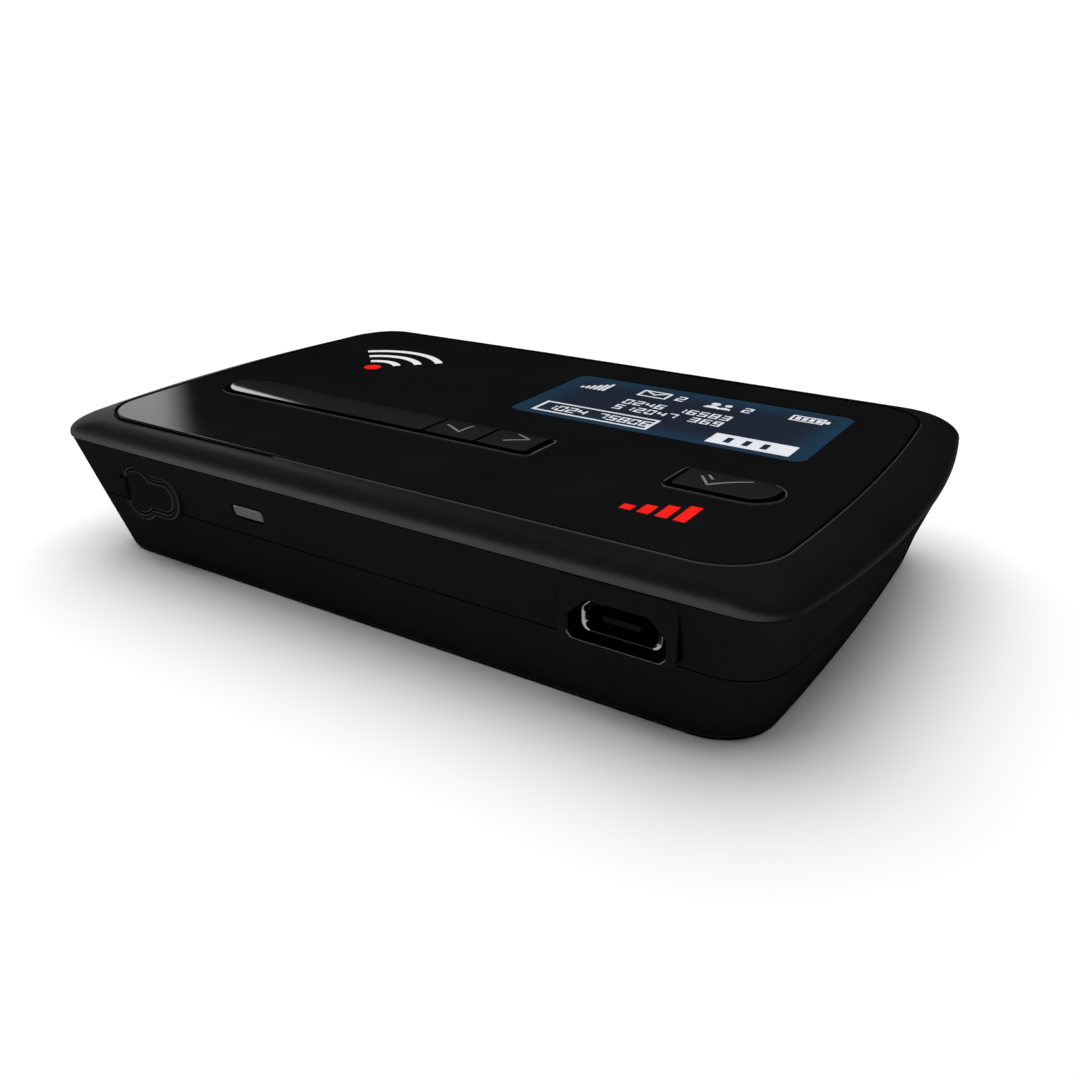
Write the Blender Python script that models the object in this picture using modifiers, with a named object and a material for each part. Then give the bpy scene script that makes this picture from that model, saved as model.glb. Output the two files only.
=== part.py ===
"""Pocket mobile hotspot: a tapered two-shell case with a gloss top lens, four keys, a small
display, a micro-USB port, a covered aerial socket, and the board, battery and SIM inside.

Metres, +Z up. The origin is on the table under the middle of the case. +X runs along the case the
way the display reads, and -Y faces the side with the ports.
"""

import math
from collections import namedtuple

import bmesh
import bpy

# Clearances
seat_gap = 0.0003
groove_gap = 0.0003
parting_gap = 0.0003
key_gap = 0.0004

# Overall size of the case, at its widest
case_length = 0.1000
case_width = 0.0608
case_corner_radius = 0.0048
case_end_bow = 0.0036

# Gloss lens on top
lens_corner_radius = 0.0065
lens_end_bow = 0.0016
lens_thickness = 0.0009
lens_edge_chamfer = 0.0002
lens_stand_proud = 0.00010

# Rounded band around the lens
band_end_reach = 0.00565
band_side_reach = 0.00335
band_widest_depth = 0.00235
band_shoulder_power = 1.18
band_overhang = 0.0001
band_undercut_height = 0.00025
bezel_plate_thickness = 0.0012
bezel_lip_depth = 0.0012
lip_thickness = 0.0010

# Tapered skirt and bottom cover
base_end_inset = 0.0055
base_side_inset = 0.0034
base_corner_radius = 0.0065
base_end_bow = 0.0008
base_edge_radius = 0.0010
parting_height = 0.0079
wall_thickness = 0.0018
floor_thickness = 0.0014
cover_lip_depth = 0.0012

# Stack of inner pieces, from the table up
battery_from_side = 0.0034
battery_thickness = 0.00595
battery_corner_radius = 0.0015
bay_clearance = 0.0004
bay_rib_thickness = 0.0010
bay_rib_depth = 0.0020
partition_thickness = 0.0010
board_thickness = 0.0010
board_edge_clearance = 0.0010
key_room = 0.00355

# Keys: a bar of three keys on the left and one key on the right, in one row
key_row_from_front = 0.0180
key_slot_width = 0.0061
key_slot_from_end = 0.0061
key_square_corner = 0.0009
bar_slot_length = 0.0488
side_key_pitch = 0.00745
ok_slot_length = 0.01175
key_edge_proud = 0.00017
key_crown_height = 0.00028
key_edge_round = 0.00025
key_crown_inset = 0.0011
key_flange_width = 0.0007
key_flange_thickness = 0.0006
key_stem_radius = 0.0012
key_stem_length = 0.0003
power_switch_from_end = 0.0170

# Tact switches on the board
switch_size = 0.0045
switch_height = 0.00115
plunger_radius = 0.0008
plunger_depth = 0.0004
switch_hole_depth = 0.0010

# Display behind the lens
display_view_length = 0.0380
display_from_end = 0.0077
display_from_back = 0.0070
display_from_keys = 0.0073
display_border = 0.0012
display_thickness = 0.0015
display_corner_radius = 0.0010
flex_length = 0.0140
flex_width = 0.0080
flex_thickness = 0.0002
display_plug_length = 0.0030

# Micro-USB port at the right of the front
usb_from_end = 0.0184
usb_shell_width = 0.0076
usb_shell_height = 0.0026
usb_shell_wall = 0.0003
usb_shell_chamfer = 0.0008
usb_shell_depth = 0.0052
usb_flare = 0.0003
usb_flare_depth = 0.0005
usb_block_width = 0.0122
usb_block_corner = 0.0010
usb_block_below = 0.0023
usb_block_top_drop = 0.0001
usb_recess_width = 0.0099
usb_recess_height = 0.0041
usb_recess_depth = 0.0014
usb_recess_chamfer = 0.0018
usb_tongue_width = 0.0038
usb_tongue_thickness = 0.0006

# Aerial socket and its rubber cover at the left of the front
aerial_from_end = 0.0165
aerial_height = 0.00985
cover_disc_radius = 0.0027
cover_tongue_half_height = 0.00175
cover_tongue_reach = 0.0062
cover_hinge_reach = 0.0017
cover_thickness = 0.0013
cover_pocket_gap = 0.0003
cover_boss_rim = 0.0009
cover_boss_floor = 0.0008
anchor_reach = 0.0016
anchor_half_height = 0.0012
aerial_socket_radius = 0.0014
aerial_socket_bore = 0.0009
aerial_socket_length = 0.0046
aerial_bore_depth = 0.0034
aerial_base_depth = 0.0032
aerial_pin_radius = 0.0003
aerial_pin_length = 0.0030

# Status light at the left of the front
light_from_end = 0.0348
light_height = 0.01095
light_width = 0.0044
light_window_height = 0.0014
light_recess = 0.0003
light_pipe_length = 0.0060
led_width = 0.0016
led_depth = 0.0008
led_height = 0.0006

# Case screws and board posts
boss_from_end = 0.0043
boss_from_side = 0.0050
boss_radius = 0.0020
pilot_radius = 0.0012
screw_shank_radius = 0.0008
screw_head_radius = 0.0016
screw_head_height = 0.0008
screw_bite = 0.0035
post_radius = 0.0013
post_from_boss = 0.0048

# Pieces on the underside of the board
shield_wall = 0.0003
shield_spacing = 0.0040
back_shield_width = 0.0180
modem_shield_length = 0.0220
wifi_shield_length = 0.0180
power_shield_length = 0.0260
power_shield_width = 0.0150
shield_height = 0.0018
chip_height = 0.0009
chip_inset = 0.0030
sim_length = 0.0150
sim_width = 0.0120
sim_thickness = 0.0008
sim_from_wall = 0.0020
sim_socket_border = 0.0008
sim_socket_height = 0.0022
sim_socket_wall = 0.0004
contact_block_length = 0.0036
contact_block_width = 0.0110
contact_from_wall = 0.0080
contact_drop = 0.0030
contact_count = 4
contact_pitch = 0.0022
contact_width = 0.0009
contact_reach = 0.0004
contact_height = 0.0016
aerial_strip_thickness = 0.0003
aerial_strip_width = 0.0016
aerial_strip_depth = 0.0045
aerial_strip_from_wall = 0.0025
main_aerial_length = 0.0240
diversity_aerial_length = 0.0200
diversity_aerial_start = 0.0250
wifi_aerial_length = 0.0180
wifi_aerial_start = 0.0060

# Smoothness
end_steps = 3
corner_steps = 6
band_steps = 5
edge_steps = 3
round_sides = 16

Plan = namedtuple("Plan", "half_length half_width corner bow")


def grown(plan, amount):
    """The plan outline moved outwards by an amount, or inwards by a negative one."""
    corner = max(plan.corner + amount, key_square_corner)
    return Plan(plan.half_length + amount, plan.half_width + amount, corner, plan.bow)


def mixed(first, second, share):
    """A plan outline part of the way from one to another."""
    return Plan(*(a + (b - a) * share for a, b in zip(first, second)))


def plan_points(plan):
    """Outline with straight long sides, ends bowed outwards on an arc, and round corners."""
    half_length, half_width, corner, bow = plan
    end_radius = (half_width ** 2 + bow ** 2) / (2 * bow)
    end_centre = half_length - end_radius
    corner_y = half_width - corner
    corner_x = end_centre + math.sqrt((end_radius - corner) ** 2 - corner_y ** 2)
    meet = math.atan2(corner_y, corner_x - end_centre)
    quarter = []
    for i in range(end_steps + 1):
        angle = meet * i / end_steps
        quarter.append((end_centre + end_radius * math.cos(angle), end_radius * math.sin(angle)))
    for i in range(1, corner_steps + 1):
        angle = meet + (math.pi / 2 - meet) * i / corner_steps
        quarter.append((corner_x + corner * math.cos(angle), corner_y + corner * math.sin(angle)))
    back_left = [(-x, y) for x, y in reversed(quarter)]
    front_left = [(-x, -y) for x, y in quarter[1:]]
    front_right = [(x, -y) for x, y in reversed(quarter[1:])]
    return quarter + back_left + front_left + front_right


def rounded_box(left, right, low, high, left_radius, right_radius, steps=corner_steps):
    """Flat box outline with one radius at its left corners and another at its right ones."""
    corners = [(right - right_radius, high - right_radius, right_radius, 0),
               (left + left_radius, high - left_radius, left_radius, 1),
               (left + left_radius, low + left_radius, left_radius, 2),
               (right - right_radius, low + right_radius, right_radius, 3)]
    points = []
    for x, y, radius, turn in corners:
        for i in range(steps + 1):
            angle = math.pi / 2 * (turn + i / steps)
            points.append((x + radius * math.cos(angle), y + radius * math.sin(angle)))
    return points


def finish_mesh(name, mesh_edit, origin, collection, material):
    """Makes a named object from an edited mesh, with its own origin, and links it."""
    bmesh.ops.recalc_face_normals(mesh_edit, faces=mesh_edit.faces)
    bmesh.ops.translate(mesh_edit, verts=mesh_edit.verts, vec=[-c for c in origin])
    mesh = bpy.data.meshes.new(name)
    mesh_edit.to_mesh(mesh)
    mesh_edit.free()
    piece = bpy.data.objects.new(name, mesh)
    piece.location = origin
    if material:
        mesh.materials.append(material)
    collection.objects.link(piece)
    return piece


def loft(name, rings, collection, material=None, origin=(0, 0, 0), closed=False):
    """A skin through rings of equally many points, capped at both ends or joined end to end."""
    mesh_edit = bmesh.new()
    loops = [[mesh_edit.verts.new(point) for point in ring] for ring in rings]
    pairs = list(zip(loops, loops[1:]))
    if closed:
        pairs.append((loops[-1], loops[0]))
    else:
        mesh_edit.faces.new(loops[0])
        mesh_edit.faces.new(loops[-1])
    for lower, upper in pairs:
        for i in range(len(lower)):
            j = (i + 1) % len(lower)
            mesh_edit.faces.new((lower[i], lower[j], upper[j], upper[i]))
    return finish_mesh(name, mesh_edit, origin, collection, material)


def level(outline, height):
    """A flat outline as a ring at a height."""
    return [(x, y, height) for x, y in outline]


def upright(outline, depth):
    """An outline drawn in X and Z as a ring at a place along Y."""
    return [(x, depth, z) for x, z in outline]


def prism(name, outline, start, stop, collection, material=None, origin=(0, 0, 0), place=level):
    """An outline extruded straight from one level to another."""
    return loft(name, [place(outline, start), place(outline, stop)], collection, material, origin)


def box(name, low, high, collection, material=None):
    """A plain block between two corners."""
    mesh_edit = bmesh.new()
    bmesh.ops.create_cube(mesh_edit, size=1)
    bmesh.ops.scale(mesh_edit, verts=mesh_edit.verts, vec=[h - l for l, h in zip(low, high)])
    middle = [(l + h) / 2 for l, h in zip(low, high)]
    bmesh.ops.translate(mesh_edit, verts=mesh_edit.verts, vec=middle)
    return finish_mesh(name, mesh_edit, middle, collection, material)


def post(name, x, y, low, high, radius, collection, material=None):
    """An upright round post."""
    mesh_edit = bmesh.new()
    bmesh.ops.create_cone(mesh_edit, cap_ends=True, segments=round_sides, radius1=radius,
                          radius2=radius, depth=high - low)
    bmesh.ops.translate(mesh_edit, verts=mesh_edit.verts, vec=(x, y, (low + high) / 2))
    return finish_mesh(name, mesh_edit, (x, y, (low + high) / 2), collection, material)


def turned(name, profile, place, collection, material=None, forward=False):
    """A profile of radius and height turned about its own axis, upright or pointing to the front."""
    mesh = bpy.data.meshes.new(name)
    edges = [(i, i + 1) for i in range(len(profile) - 1)]
    mesh.from_pydata([(radius, 0, height) for radius, height in profile], edges, [])
    piece = bpy.data.objects.new(name, mesh)
    piece.location = place
    if forward:
        piece.rotation_euler = (math.pi / 2, 0, 0)
    if material:
        mesh.materials.append(material)
    collection.objects.link(piece)
    screw = piece.modifiers.new("turn", "SCREW")
    screw.steps = round_sides
    screw.render_steps = round_sides
    screw.use_merge_vertices = True
    screw.merge_threshold = 0.00001
    return piece


def combine(piece, tool, operation):
    """Cuts a tool out of a piece, or joins it on, and leaves the tool as a wire guide."""
    tool.hide_render = True
    tool.display_type = "WIRE"
    change = piece.modifiers.new(tool.name, "BOOLEAN")
    change.operation = operation
    change.solver = "EXACT"
    change.object = tool


def cut(piece, tool):
    combine(piece, tool, "DIFFERENCE")


def join(piece, tool):
    combine(piece, tool, "UNION")


def plastic(name, colour, roughness, metallic=0.0):
    """A plain surface with the piece's colour, roughness and metal share."""
    material = bpy.data.materials.new(name)
    material.use_nodes = True
    shader = material.node_tree.nodes["Principled BSDF"]
    shader.inputs["Base Color"].default_value = (*colour, 1)
    shader.inputs["Roughness"].default_value = roughness
    shader.inputs["Metallic"].default_value = metallic
    return material


# An empty scene with one collection for the pieces and one for the cutters
for old in list(bpy.data.objects):
    bpy.data.objects.remove(old)
pieces = bpy.data.collections.new("mobile_hotspot")
cutters = bpy.data.collections.new("cutters")
bpy.context.scene.collection.children.link(pieces)
bpy.context.scene.collection.children.link(cutters)

# Surfaces
gloss_black = plastic("gloss_black", (0.010, 0.010, 0.011), 0.08)
satin_black = plastic("satin_black", (0.018, 0.018, 0.019), 0.38)
matte_black = plastic("matte_black", (0.014, 0.014, 0.014), 0.55)
key_black = plastic("key_black", (0.020, 0.020, 0.021), 0.30)
rubber_black = plastic("rubber_black", (0.016, 0.016, 0.016), 0.70)
clear_grey = plastic("clear_grey", (0.30, 0.30, 0.31), 0.35)
display_blue = plastic("display_blue", (0.012, 0.030, 0.055), 0.15)
plain_steel = plastic("plain_steel", (0.62, 0.62, 0.63), 0.28, 1.0)
gold_plate = plastic("gold_plate", (0.80, 0.60, 0.25), 0.30, 1.0)
board_green = plastic("board_green", (0.020, 0.090, 0.040), 0.45)
flex_amber = plastic("flex_amber", (0.42, 0.20, 0.04), 0.40)
battery_wrap = plastic("battery_wrap", (0.10, 0.10, 0.11), 0.45)
moulded_cream = plastic("moulded_cream", (0.62, 0.60, 0.55), 0.50)
card_white = plastic("card_white", (0.75, 0.75, 0.74), 0.45)

# Levels of the stack, from the table up
battery_low = floor_thickness + seat_gap
battery_high = battery_low + battery_thickness
partition_low = battery_high + seat_gap
partition_high = partition_low + partition_thickness
usb_low = partition_high + seat_gap
usb_high = usb_low + usb_shell_height
usb_middle = (usb_low + usb_high) / 2
board_low = usb_high + seat_gap
board_high = board_low + board_thickness
lens_low = board_high + key_room
lens_high = lens_low + lens_thickness
plate_high = lens_low - seat_gap
plate_low = plate_high - bezel_plate_thickness
rim_high = lens_high - lens_stand_proud
band_low = lens_high - band_widest_depth - band_undercut_height
housing_high = band_low - parting_gap
housing_low = parting_height + parting_gap / 2
cover_high = parting_height - parting_gap / 2
under_board = board_low - seat_gap

# Plan outlines
band_plan = Plan(case_length / 2, case_width / 2, case_corner_radius, case_end_bow)
lens_half_length = case_length / 2 - band_end_reach
lens_half_width = case_width / 2 - band_side_reach
lens_plan = Plan(lens_half_length, lens_half_width, lens_corner_radius, lens_end_bow)
skirt_top_plan = grown(band_plan, -band_overhang)
base_plan = Plan(case_length / 2 - base_end_inset, case_width / 2 - base_side_inset, base_corner_radius,
                 base_end_bow)


def skirt_plan(height, inset=0.0):
    """The tapered skirt's outline at a height, or one a wall further in."""
    return grown(mixed(base_plan, skirt_top_plan, height / band_low), -inset)


def skirt_ring(height, inset=0.0):
    return level(plan_points(skirt_plan(height, inset)), height)


def skirt_front(height):
    """Where the skirt's front face lies along Y at a height."""
    return -skirt_plan(height).half_width


# Places on the top face
display_right = lens_half_length - display_from_end
display_left = display_right - display_view_length
display_back = lens_half_width - display_from_back
key_row = key_row_from_front - lens_half_width
slot_front = key_row - key_slot_width / 2
slot_back = key_row + key_slot_width / 2
display_front = slot_back + display_from_keys
bar_left = key_slot_from_end - lens_half_length
bar_right = bar_left + bar_slot_length
ok_right = lens_half_length - key_slot_from_end
ok_left = ok_right - ok_slot_length
slot_round = key_slot_width / 2

# Places of the case screws
boss_x = lens_half_length - boss_from_end
boss_y = lens_half_width - boss_from_side
boss_places = {
    "front_left": (-boss_x, -boss_y),
    "front_right": (boss_x, -boss_y),
    "back_left": (-boss_x, boss_y),
    "back_right": (boss_x, boss_y),
}

# Rounded outlines of the key slots, and the key caps within them
bar_slot = (bar_left, bar_right, slot_round, key_square_corner)
ok_slot = (ok_left, ok_right, key_square_corner, slot_round)
right_split = bar_right - side_key_pitch
left_split = right_split - side_key_pitch


def slot_outline(slot, grow_ends, grow_sides):
    """A key slot's outline, larger by an amount at its ends and at its long sides."""
    left, right, left_radius, right_radius = slot
    return rounded_box(left - grow_ends, right + grow_ends, slot_front - grow_sides,
                       slot_back + grow_sides, left_radius + grow_sides, right_radius + grow_sides)


def build_lens():
    lens = loft("lens_panel", [
        level(plan_points(lens_plan), lens_low),
        level(plan_points(lens_plan), lens_high - lens_edge_chamfer),
        level(plan_points(grown(lens_plan, -lens_edge_chamfer)), lens_high),
    ], pieces, gloss_black)
    for name, slot in (("lens_bar_slot", bar_slot), ("lens_ok_slot", ok_slot)):
        cut(lens, prism(name, slot_outline(slot, 0, 0), lens_low - seat_gap,
                        lens_high + seat_gap, cutters))


def band_rings():
    """The band from the lens groove, over its rounded shoulder, to its lower edge."""
    rim_plan = grown(lens_plan, groove_gap)
    widest = lens_high - band_widest_depth
    rings = []
    for i in range(band_steps + 1):
        angle = math.pi / 2 * i / band_steps
        plan = mixed(rim_plan, band_plan, math.sin(angle) ** band_shoulder_power)
        height = widest + (rim_high - widest) * abs(math.cos(angle)) ** band_shoulder_power
        rings.append(level(plan_points(plan), height))
    for i in range(1, edge_steps + 1):
        angle = math.pi / 2 * i / edge_steps
        plan = mixed(band_plan, skirt_top_plan, 1 - math.cos(angle))
        rings.append(level(plan_points(plan), widest - band_undercut_height * math.sin(angle)))
    return rings


def build_bezel():
    lip_low = band_low - bezel_lip_depth
    rings = [level(plan_points(grown(lens_plan, groove_gap)), plate_high)]
    rings += band_rings()
    rings.append(skirt_ring(band_low, lip_outer))
    rings.append(skirt_ring(lip_low, lip_outer))
    rings.append(skirt_ring(lip_low, lip_inner))
    rings.append(level(plan_points(skirt_plan(band_low, lip_inner)), plate_low))
    bezel = loft("top_bezel", rings, pieces, satin_black)
    for corner, (x, y) in boss_places.items():
        boss = post("boss_" + corner, x, y, partition_high + seat_gap,
                    plate_low + bezel_plate_thickness / 2, boss_radius, cutters)
        join(bezel, boss)
    for corner, (x, y) in boss_places.items():
        pilot = post("pilot_" + corner, x, y, partition_high, partition_high + screw_bite + 2 * seat_gap,
                     pilot_radius, cutters)
        cut(bezel, pilot)
    window = rounded_box(display_left - display_border - seat_gap,
                         display_right + display_border + seat_gap,
                         display_front - display_border - seat_gap,
                         display_back + display_border + seat_gap,
                         display_corner_radius, display_corner_radius)
    cut(bezel, prism("display_opening", window, plate_low - seat_gap, plate_high + seat_gap, cutters))
    opening = key_flange_width + key_gap
    for name, slot in (("bar_opening", bar_slot), ("ok_opening", ok_slot)):
        cut(bezel, prism(name, slot_outline(slot, opening, opening), plate_low - seat_gap,
                         plate_high + seat_gap, cutters))


def usb_shell_outline(grow):
    """The port's outline, narrow side up, larger by an amount all round."""
    half = usb_shell_width / 2 + grow
    low = usb_low - grow
    high = usb_high + grow
    chamfer = usb_shell_chamfer + grow * math.tan(math.pi / 8)
    x = usb_x
    return [(x - half, low + chamfer / 2), (x - half + chamfer / 2, low), (x + half - chamfer / 2, low),
            (x + half, low + chamfer / 2), (x + half, high - chamfer), (x + half - chamfer, high),
            (x - half + chamfer, high), (x - half, high - chamfer)]


def usb_recess_outline():
    half = usb_recess_width / 2
    low = usb_middle - usb_recess_height / 2
    high = usb_middle + usb_recess_height / 2
    foot = usb_recess_chamfer / 3
    x = usb_x
    return [(x - half, low + foot), (x - half + foot, low), (x + half - foot, low), (x + half, low + foot),
            (x + half, high - usb_recess_chamfer), (x + half - usb_recess_chamfer, high),
            (x - half + usb_recess_chamfer, high), (x - half, high - usb_recess_chamfer)]


def keyhole(grow):
    """The aerial cover's outline: a disc with a round-ended tongue, cut straight at its hinge."""
    radius = cover_disc_radius + grow
    half = cover_tongue_half_height + grow
    middle = aerial_x
    tongue_end = middle + cover_tongue_reach - cover_tongue_half_height
    neck = math.asin(half / radius)
    hinge = math.acos((cover_hinge_reach + grow) / radius)
    points = []
    for i in range(corner_steps + 1):
        angle = math.pi / 2 - math.pi * i / corner_steps
        points.append((tongue_end + half * math.cos(angle), aerial_height + half * math.sin(angle)))
    lower_sweep = math.pi - hinge - neck
    for i in range(corner_steps + 1):
        angle = -neck - lower_sweep * i / corner_steps
        points.append((middle + radius * math.cos(angle), aerial_height + radius * math.sin(angle)))
    for i in range(corner_steps + 1):
        angle = math.pi - hinge - lower_sweep * i / corner_steps
        points.append((middle + radius * math.cos(angle), aerial_height + radius * math.sin(angle)))
    return points


usb_x = case_length / 2 - usb_from_end
aerial_x = aerial_from_end - case_length / 2
light_x = light_from_end - case_length / 2
cover_face = skirt_front(aerial_height + cover_disc_radius)
cover_back = cover_face + cover_thickness
pocket_floor = cover_back + seat_gap
boss_back = pocket_floor + cover_boss_floor
hinge_x = aerial_x - cover_hinge_reach
anchor_left = hinge_x - anchor_reach
usb_face = skirt_front(band_low)
usb_block_low = usb_middle - usb_block_below
usb_block_high = housing_high - usb_block_top_drop
usb_block_back = skirt_front(usb_block_low) + seat_gap
recess_floor = usb_face + usb_recess_depth
light_low = light_height - light_window_height / 2
light_high = light_height + light_window_height / 2
light_face = skirt_front(light_low) + light_recess
light_back = light_face + light_pipe_length
outside = usb_face - wall_thickness
lip_outer = wall_thickness + seat_gap
lip_inner = lip_outer + lip_thickness
cover_lip_low = housing_low - cover_lip_depth
bay_plan = skirt_plan(cover_lip_low, lip_inner)
sim_left = sim_from_wall - bay_plan.half_length
sim_right = sim_left + sim_width
block_right = bay_plan.half_length - contact_from_wall
block_left = block_right - contact_block_length
battery_left = sim_right + sim_socket_border + seat_gap + bay_rib_thickness + bay_clearance
battery_right = block_left - contact_reach - 2 * seat_gap
battery_half_width = bay_plan.half_width - battery_from_side


def usb_block_outline(grow):
    """The raised block round the port, with round lower corners."""
    half = usb_block_width / 2 + grow
    return rounded_box(usb_x - half, usb_x + half, usb_block_low - grow,
                       usb_block_high, usb_block_corner, usb_block_corner, edge_steps)


def inner_front(height):
    """Where the skirt's inner face lies along Y at a height."""
    return skirt_front(height) + wall_thickness


def build_housing():
    housing = loft("middle_housing", [
        skirt_ring(partition_high, wall_thickness),
        skirt_ring(housing_high, wall_thickness),
        skirt_ring(housing_high),
        skirt_ring(housing_low),
        skirt_ring(housing_low, lip_outer),
        skirt_ring(cover_lip_low, lip_outer),
        skirt_ring(cover_lip_low, lip_inner),
        skirt_ring(partition_low, lip_inner),
    ], pieces, matte_black)
    join(housing, prism("usb_block", usb_block_outline(0), usb_face, usb_block_back, cutters,
                        place=upright))
    join(housing, prism("cover_boss", keyhole(cover_boss_rim), cover_face, boss_back, cutters,
                        place=upright))
    for corner, (x, y) in boss_places.items():
        inward = -math.copysign(post_from_boss, y)
        join(housing, post("board_post_" + corner, x, y + inward, partition_low + partition_thickness / 2,
                           under_board, post_radius, cutters))
    bay_left = battery_left - bay_clearance
    bay_right = battery_right + bay_clearance
    half_width = battery_half_width + bay_clearance
    rib_low = partition_low - bay_rib_depth
    ribs = box("bay_ribs", (bay_left - bay_rib_thickness, -half_width - bay_rib_thickness, rib_low),
               (bay_right + bay_rib_thickness, half_width + bay_rib_thickness,
                partition_low + partition_thickness / 2), cutters)
    cut(ribs, box("bay_space", (bay_left, -half_width, rib_low - seat_gap),
                  (bay_right, half_width, partition_low), cutters))
    join(housing, ribs)
    cut(housing, prism("usb_recess", usb_recess_outline(), outside, recess_floor, cutters, place=upright))
    cut(housing, prism("usb_opening", usb_shell_outline(usb_flare + seat_gap), recess_floor - seat_gap,
                       inner_front(usb_middle) + wall_thickness, cutters, place=upright))
    cut(housing, prism("cover_pocket", keyhole(cover_pocket_gap), outside, pocket_floor, cutters,
                       place=upright))
    cut(housing, box("anchor_pocket",
                     (anchor_left - seat_gap, outside, aerial_height - anchor_half_height - seat_gap),
                     (hinge_x, pocket_floor, aerial_height + anchor_half_height + seat_gap), cutters))
    hole = aerial_socket_radius + seat_gap
    hole_end = -aerial_socket_length - 2 * seat_gap
    cut(housing, turned("socket_hole", [(0, seat_gap), (hole, seat_gap), (hole, hole_end), (0, hole_end)],
                        (aerial_x, pocket_floor, aerial_height), cutters, forward=True))
    cut(housing, box("light_opening",
                     (light_x - light_width / 2 - seat_gap, outside, light_low - seat_gap),
                     (light_x + light_width / 2 + seat_gap, light_face + 2 * wall_thickness,
                      light_high + seat_gap), cutters))
    for corner, (x, y) in boss_places.items():
        cut(housing, post("screw_hole_" + corner, x, y, partition_low - seat_gap,
                          partition_high + seat_gap, pilot_radius, cutters))
    card_half = sim_length / 2 + sim_socket_border
    cut(housing, box("sim_opening", (sim_left - sim_socket_border, -card_half, partition_low - seat_gap),
                     (sim_right + sim_socket_border, card_half, partition_high + seat_gap), cutters))
    block_half = contact_block_width / 2 + seat_gap
    cut(housing, box("contact_opening",
                     (block_left - 2 * seat_gap, -block_half, rib_low - seat_gap),
                     (block_right + seat_gap, block_half, partition_high + seat_gap), cutters))


def build_cover():
    rings = []
    for i in range(edge_steps + 1):
        angle = math.pi / 2 * i / edge_steps
        height = base_edge_radius * (1 - math.cos(angle))
        inset = base_edge_radius * (1 - math.sin(angle))
        rings.append(skirt_ring(height, inset))
    rings += [skirt_ring(cover_high), skirt_ring(cover_high, wall_thickness),
              skirt_ring(floor_thickness, wall_thickness)]
    cover = loft("bottom_cover", rings, pieces, matte_black)
    cut(cover, prism("usb_notch", usb_block_outline(parting_gap), outside, usb_block_back + parting_gap,
                     cutters, place=upright))
    cut(cover, prism("boss_notch", keyhole(cover_boss_rim + parting_gap), outside,
                     boss_back + parting_gap, cutters, place=upright))


def build_key(name, slot, open_left, open_right):
    """A crowned key cap with a flange under the lens, kept clear of the next key at a split."""
    left, right, left_radius, right_radius = slot

    def outline(inset, flange=0.0):
        out_left = flange if open_left else -flange / 4
        out_right = flange if open_right else -flange / 4
        radius_left = max(left_radius - key_gap - inset + out_left, key_square_corner / 2)
        radius_right = max(right_radius - key_gap - inset + out_right, key_square_corner / 2)
        return rounded_box(left + inset - out_left, right - inset + out_right,
                           slot_front + key_gap + inset - flange, slot_back - key_gap - inset + flange,
                           radius_left, radius_right, edge_steps)

    flange_high = lens_low - seat_gap
    flange_low = flange_high - key_flange_thickness
    edge = lens_high + key_edge_proud
    return loft(name, [
        level(outline(0, key_flange_width), flange_low),
        level(outline(0, key_flange_width), flange_high),
        level(outline(0), flange_high),
        level(outline(0), edge - key_edge_round),
        level(outline(key_edge_round), edge),
        level(outline(key_crown_inset), edge + key_crown_height),
    ], pieces, key_black, ((left + right) / 2, key_row, lens_high))


def build_keys():
    """The four keys with their stems, and the tact switch and plunger under each."""
    flange_low = lens_low - seat_gap - key_flange_thickness
    stem_low = flange_low - key_stem_length
    plunger_high = stem_low - seat_gap
    switch_low = board_high + seat_gap
    switch_high = switch_low + switch_height
    plunger_low = switch_high - plunger_depth
    keys = {
        "power": ((bar_left + key_gap, left_split - key_gap / 2, slot_round, key_square_corner), True, False,
                  bar_left + power_switch_from_end),
        "left": ((left_split + key_gap / 2, right_split - key_gap / 2, key_square_corner, key_square_corner),
                 False, False, (left_split + right_split) / 2),
        "right": ((right_split + key_gap / 2, bar_right - key_gap, key_square_corner, key_square_corner),
                  False, True, (right_split + bar_right) / 2),
        "ok": ((ok_left + key_gap, ok_right - key_gap, key_square_corner, slot_round), True, True,
               (ok_left + ok_right) / 2),
    }
    for key, (slot, open_left, open_right, x) in keys.items():
        cap = build_key(key + "_button", slot, open_left, open_right)
        join(cap, post(key + "_stem", x, key_row, stem_low, flange_low + key_flange_thickness / 2,
                       key_stem_radius, cutters))
        switch = box(key + "_switch",
                     (x - switch_size / 2, key_row - switch_size / 2, switch_low),
                     (x + switch_size / 2, key_row + switch_size / 2, switch_high), pieces, plain_steel)
        cut(switch, post(key + "_switch_hole", x, key_row, switch_high - switch_hole_depth,
                         switch_high + seat_gap, plunger_radius + seat_gap, cutters))
        post(key + "_plunger", x, key_row, plunger_low, plunger_high, plunger_radius, pieces, moulded_cream)


def build_display():
    low = lens_low - seat_gap - display_thickness
    outline = rounded_box(display_left - display_border, display_right + display_border,
                          display_front - display_border, display_back + display_border,
                          display_corner_radius, display_corner_radius, edge_steps)
    prism("display_module", outline, low, lens_low - seat_gap, pieces, display_blue)
    middle = (display_front + display_back) / 2
    flex_high = low - seat_gap
    flex_right = display_left - display_border + flex_length / 2
    flex_left = flex_right - flex_length
    flex = rounded_box(flex_left, flex_right, middle - flex_width / 2, middle + flex_width / 2,
                       display_corner_radius, display_corner_radius, edge_steps)
    prism("display_flex", flex, flex_high - flex_thickness, flex_high, pieces, flex_amber)
    plug_high = flex_high - flex_thickness - seat_gap
    box("display_connector", (flex_left, middle - flex_width / 2, board_high + seat_gap),
        (flex_left + display_plug_length, middle + flex_width / 2, plug_high), pieces, moulded_cream)


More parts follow.
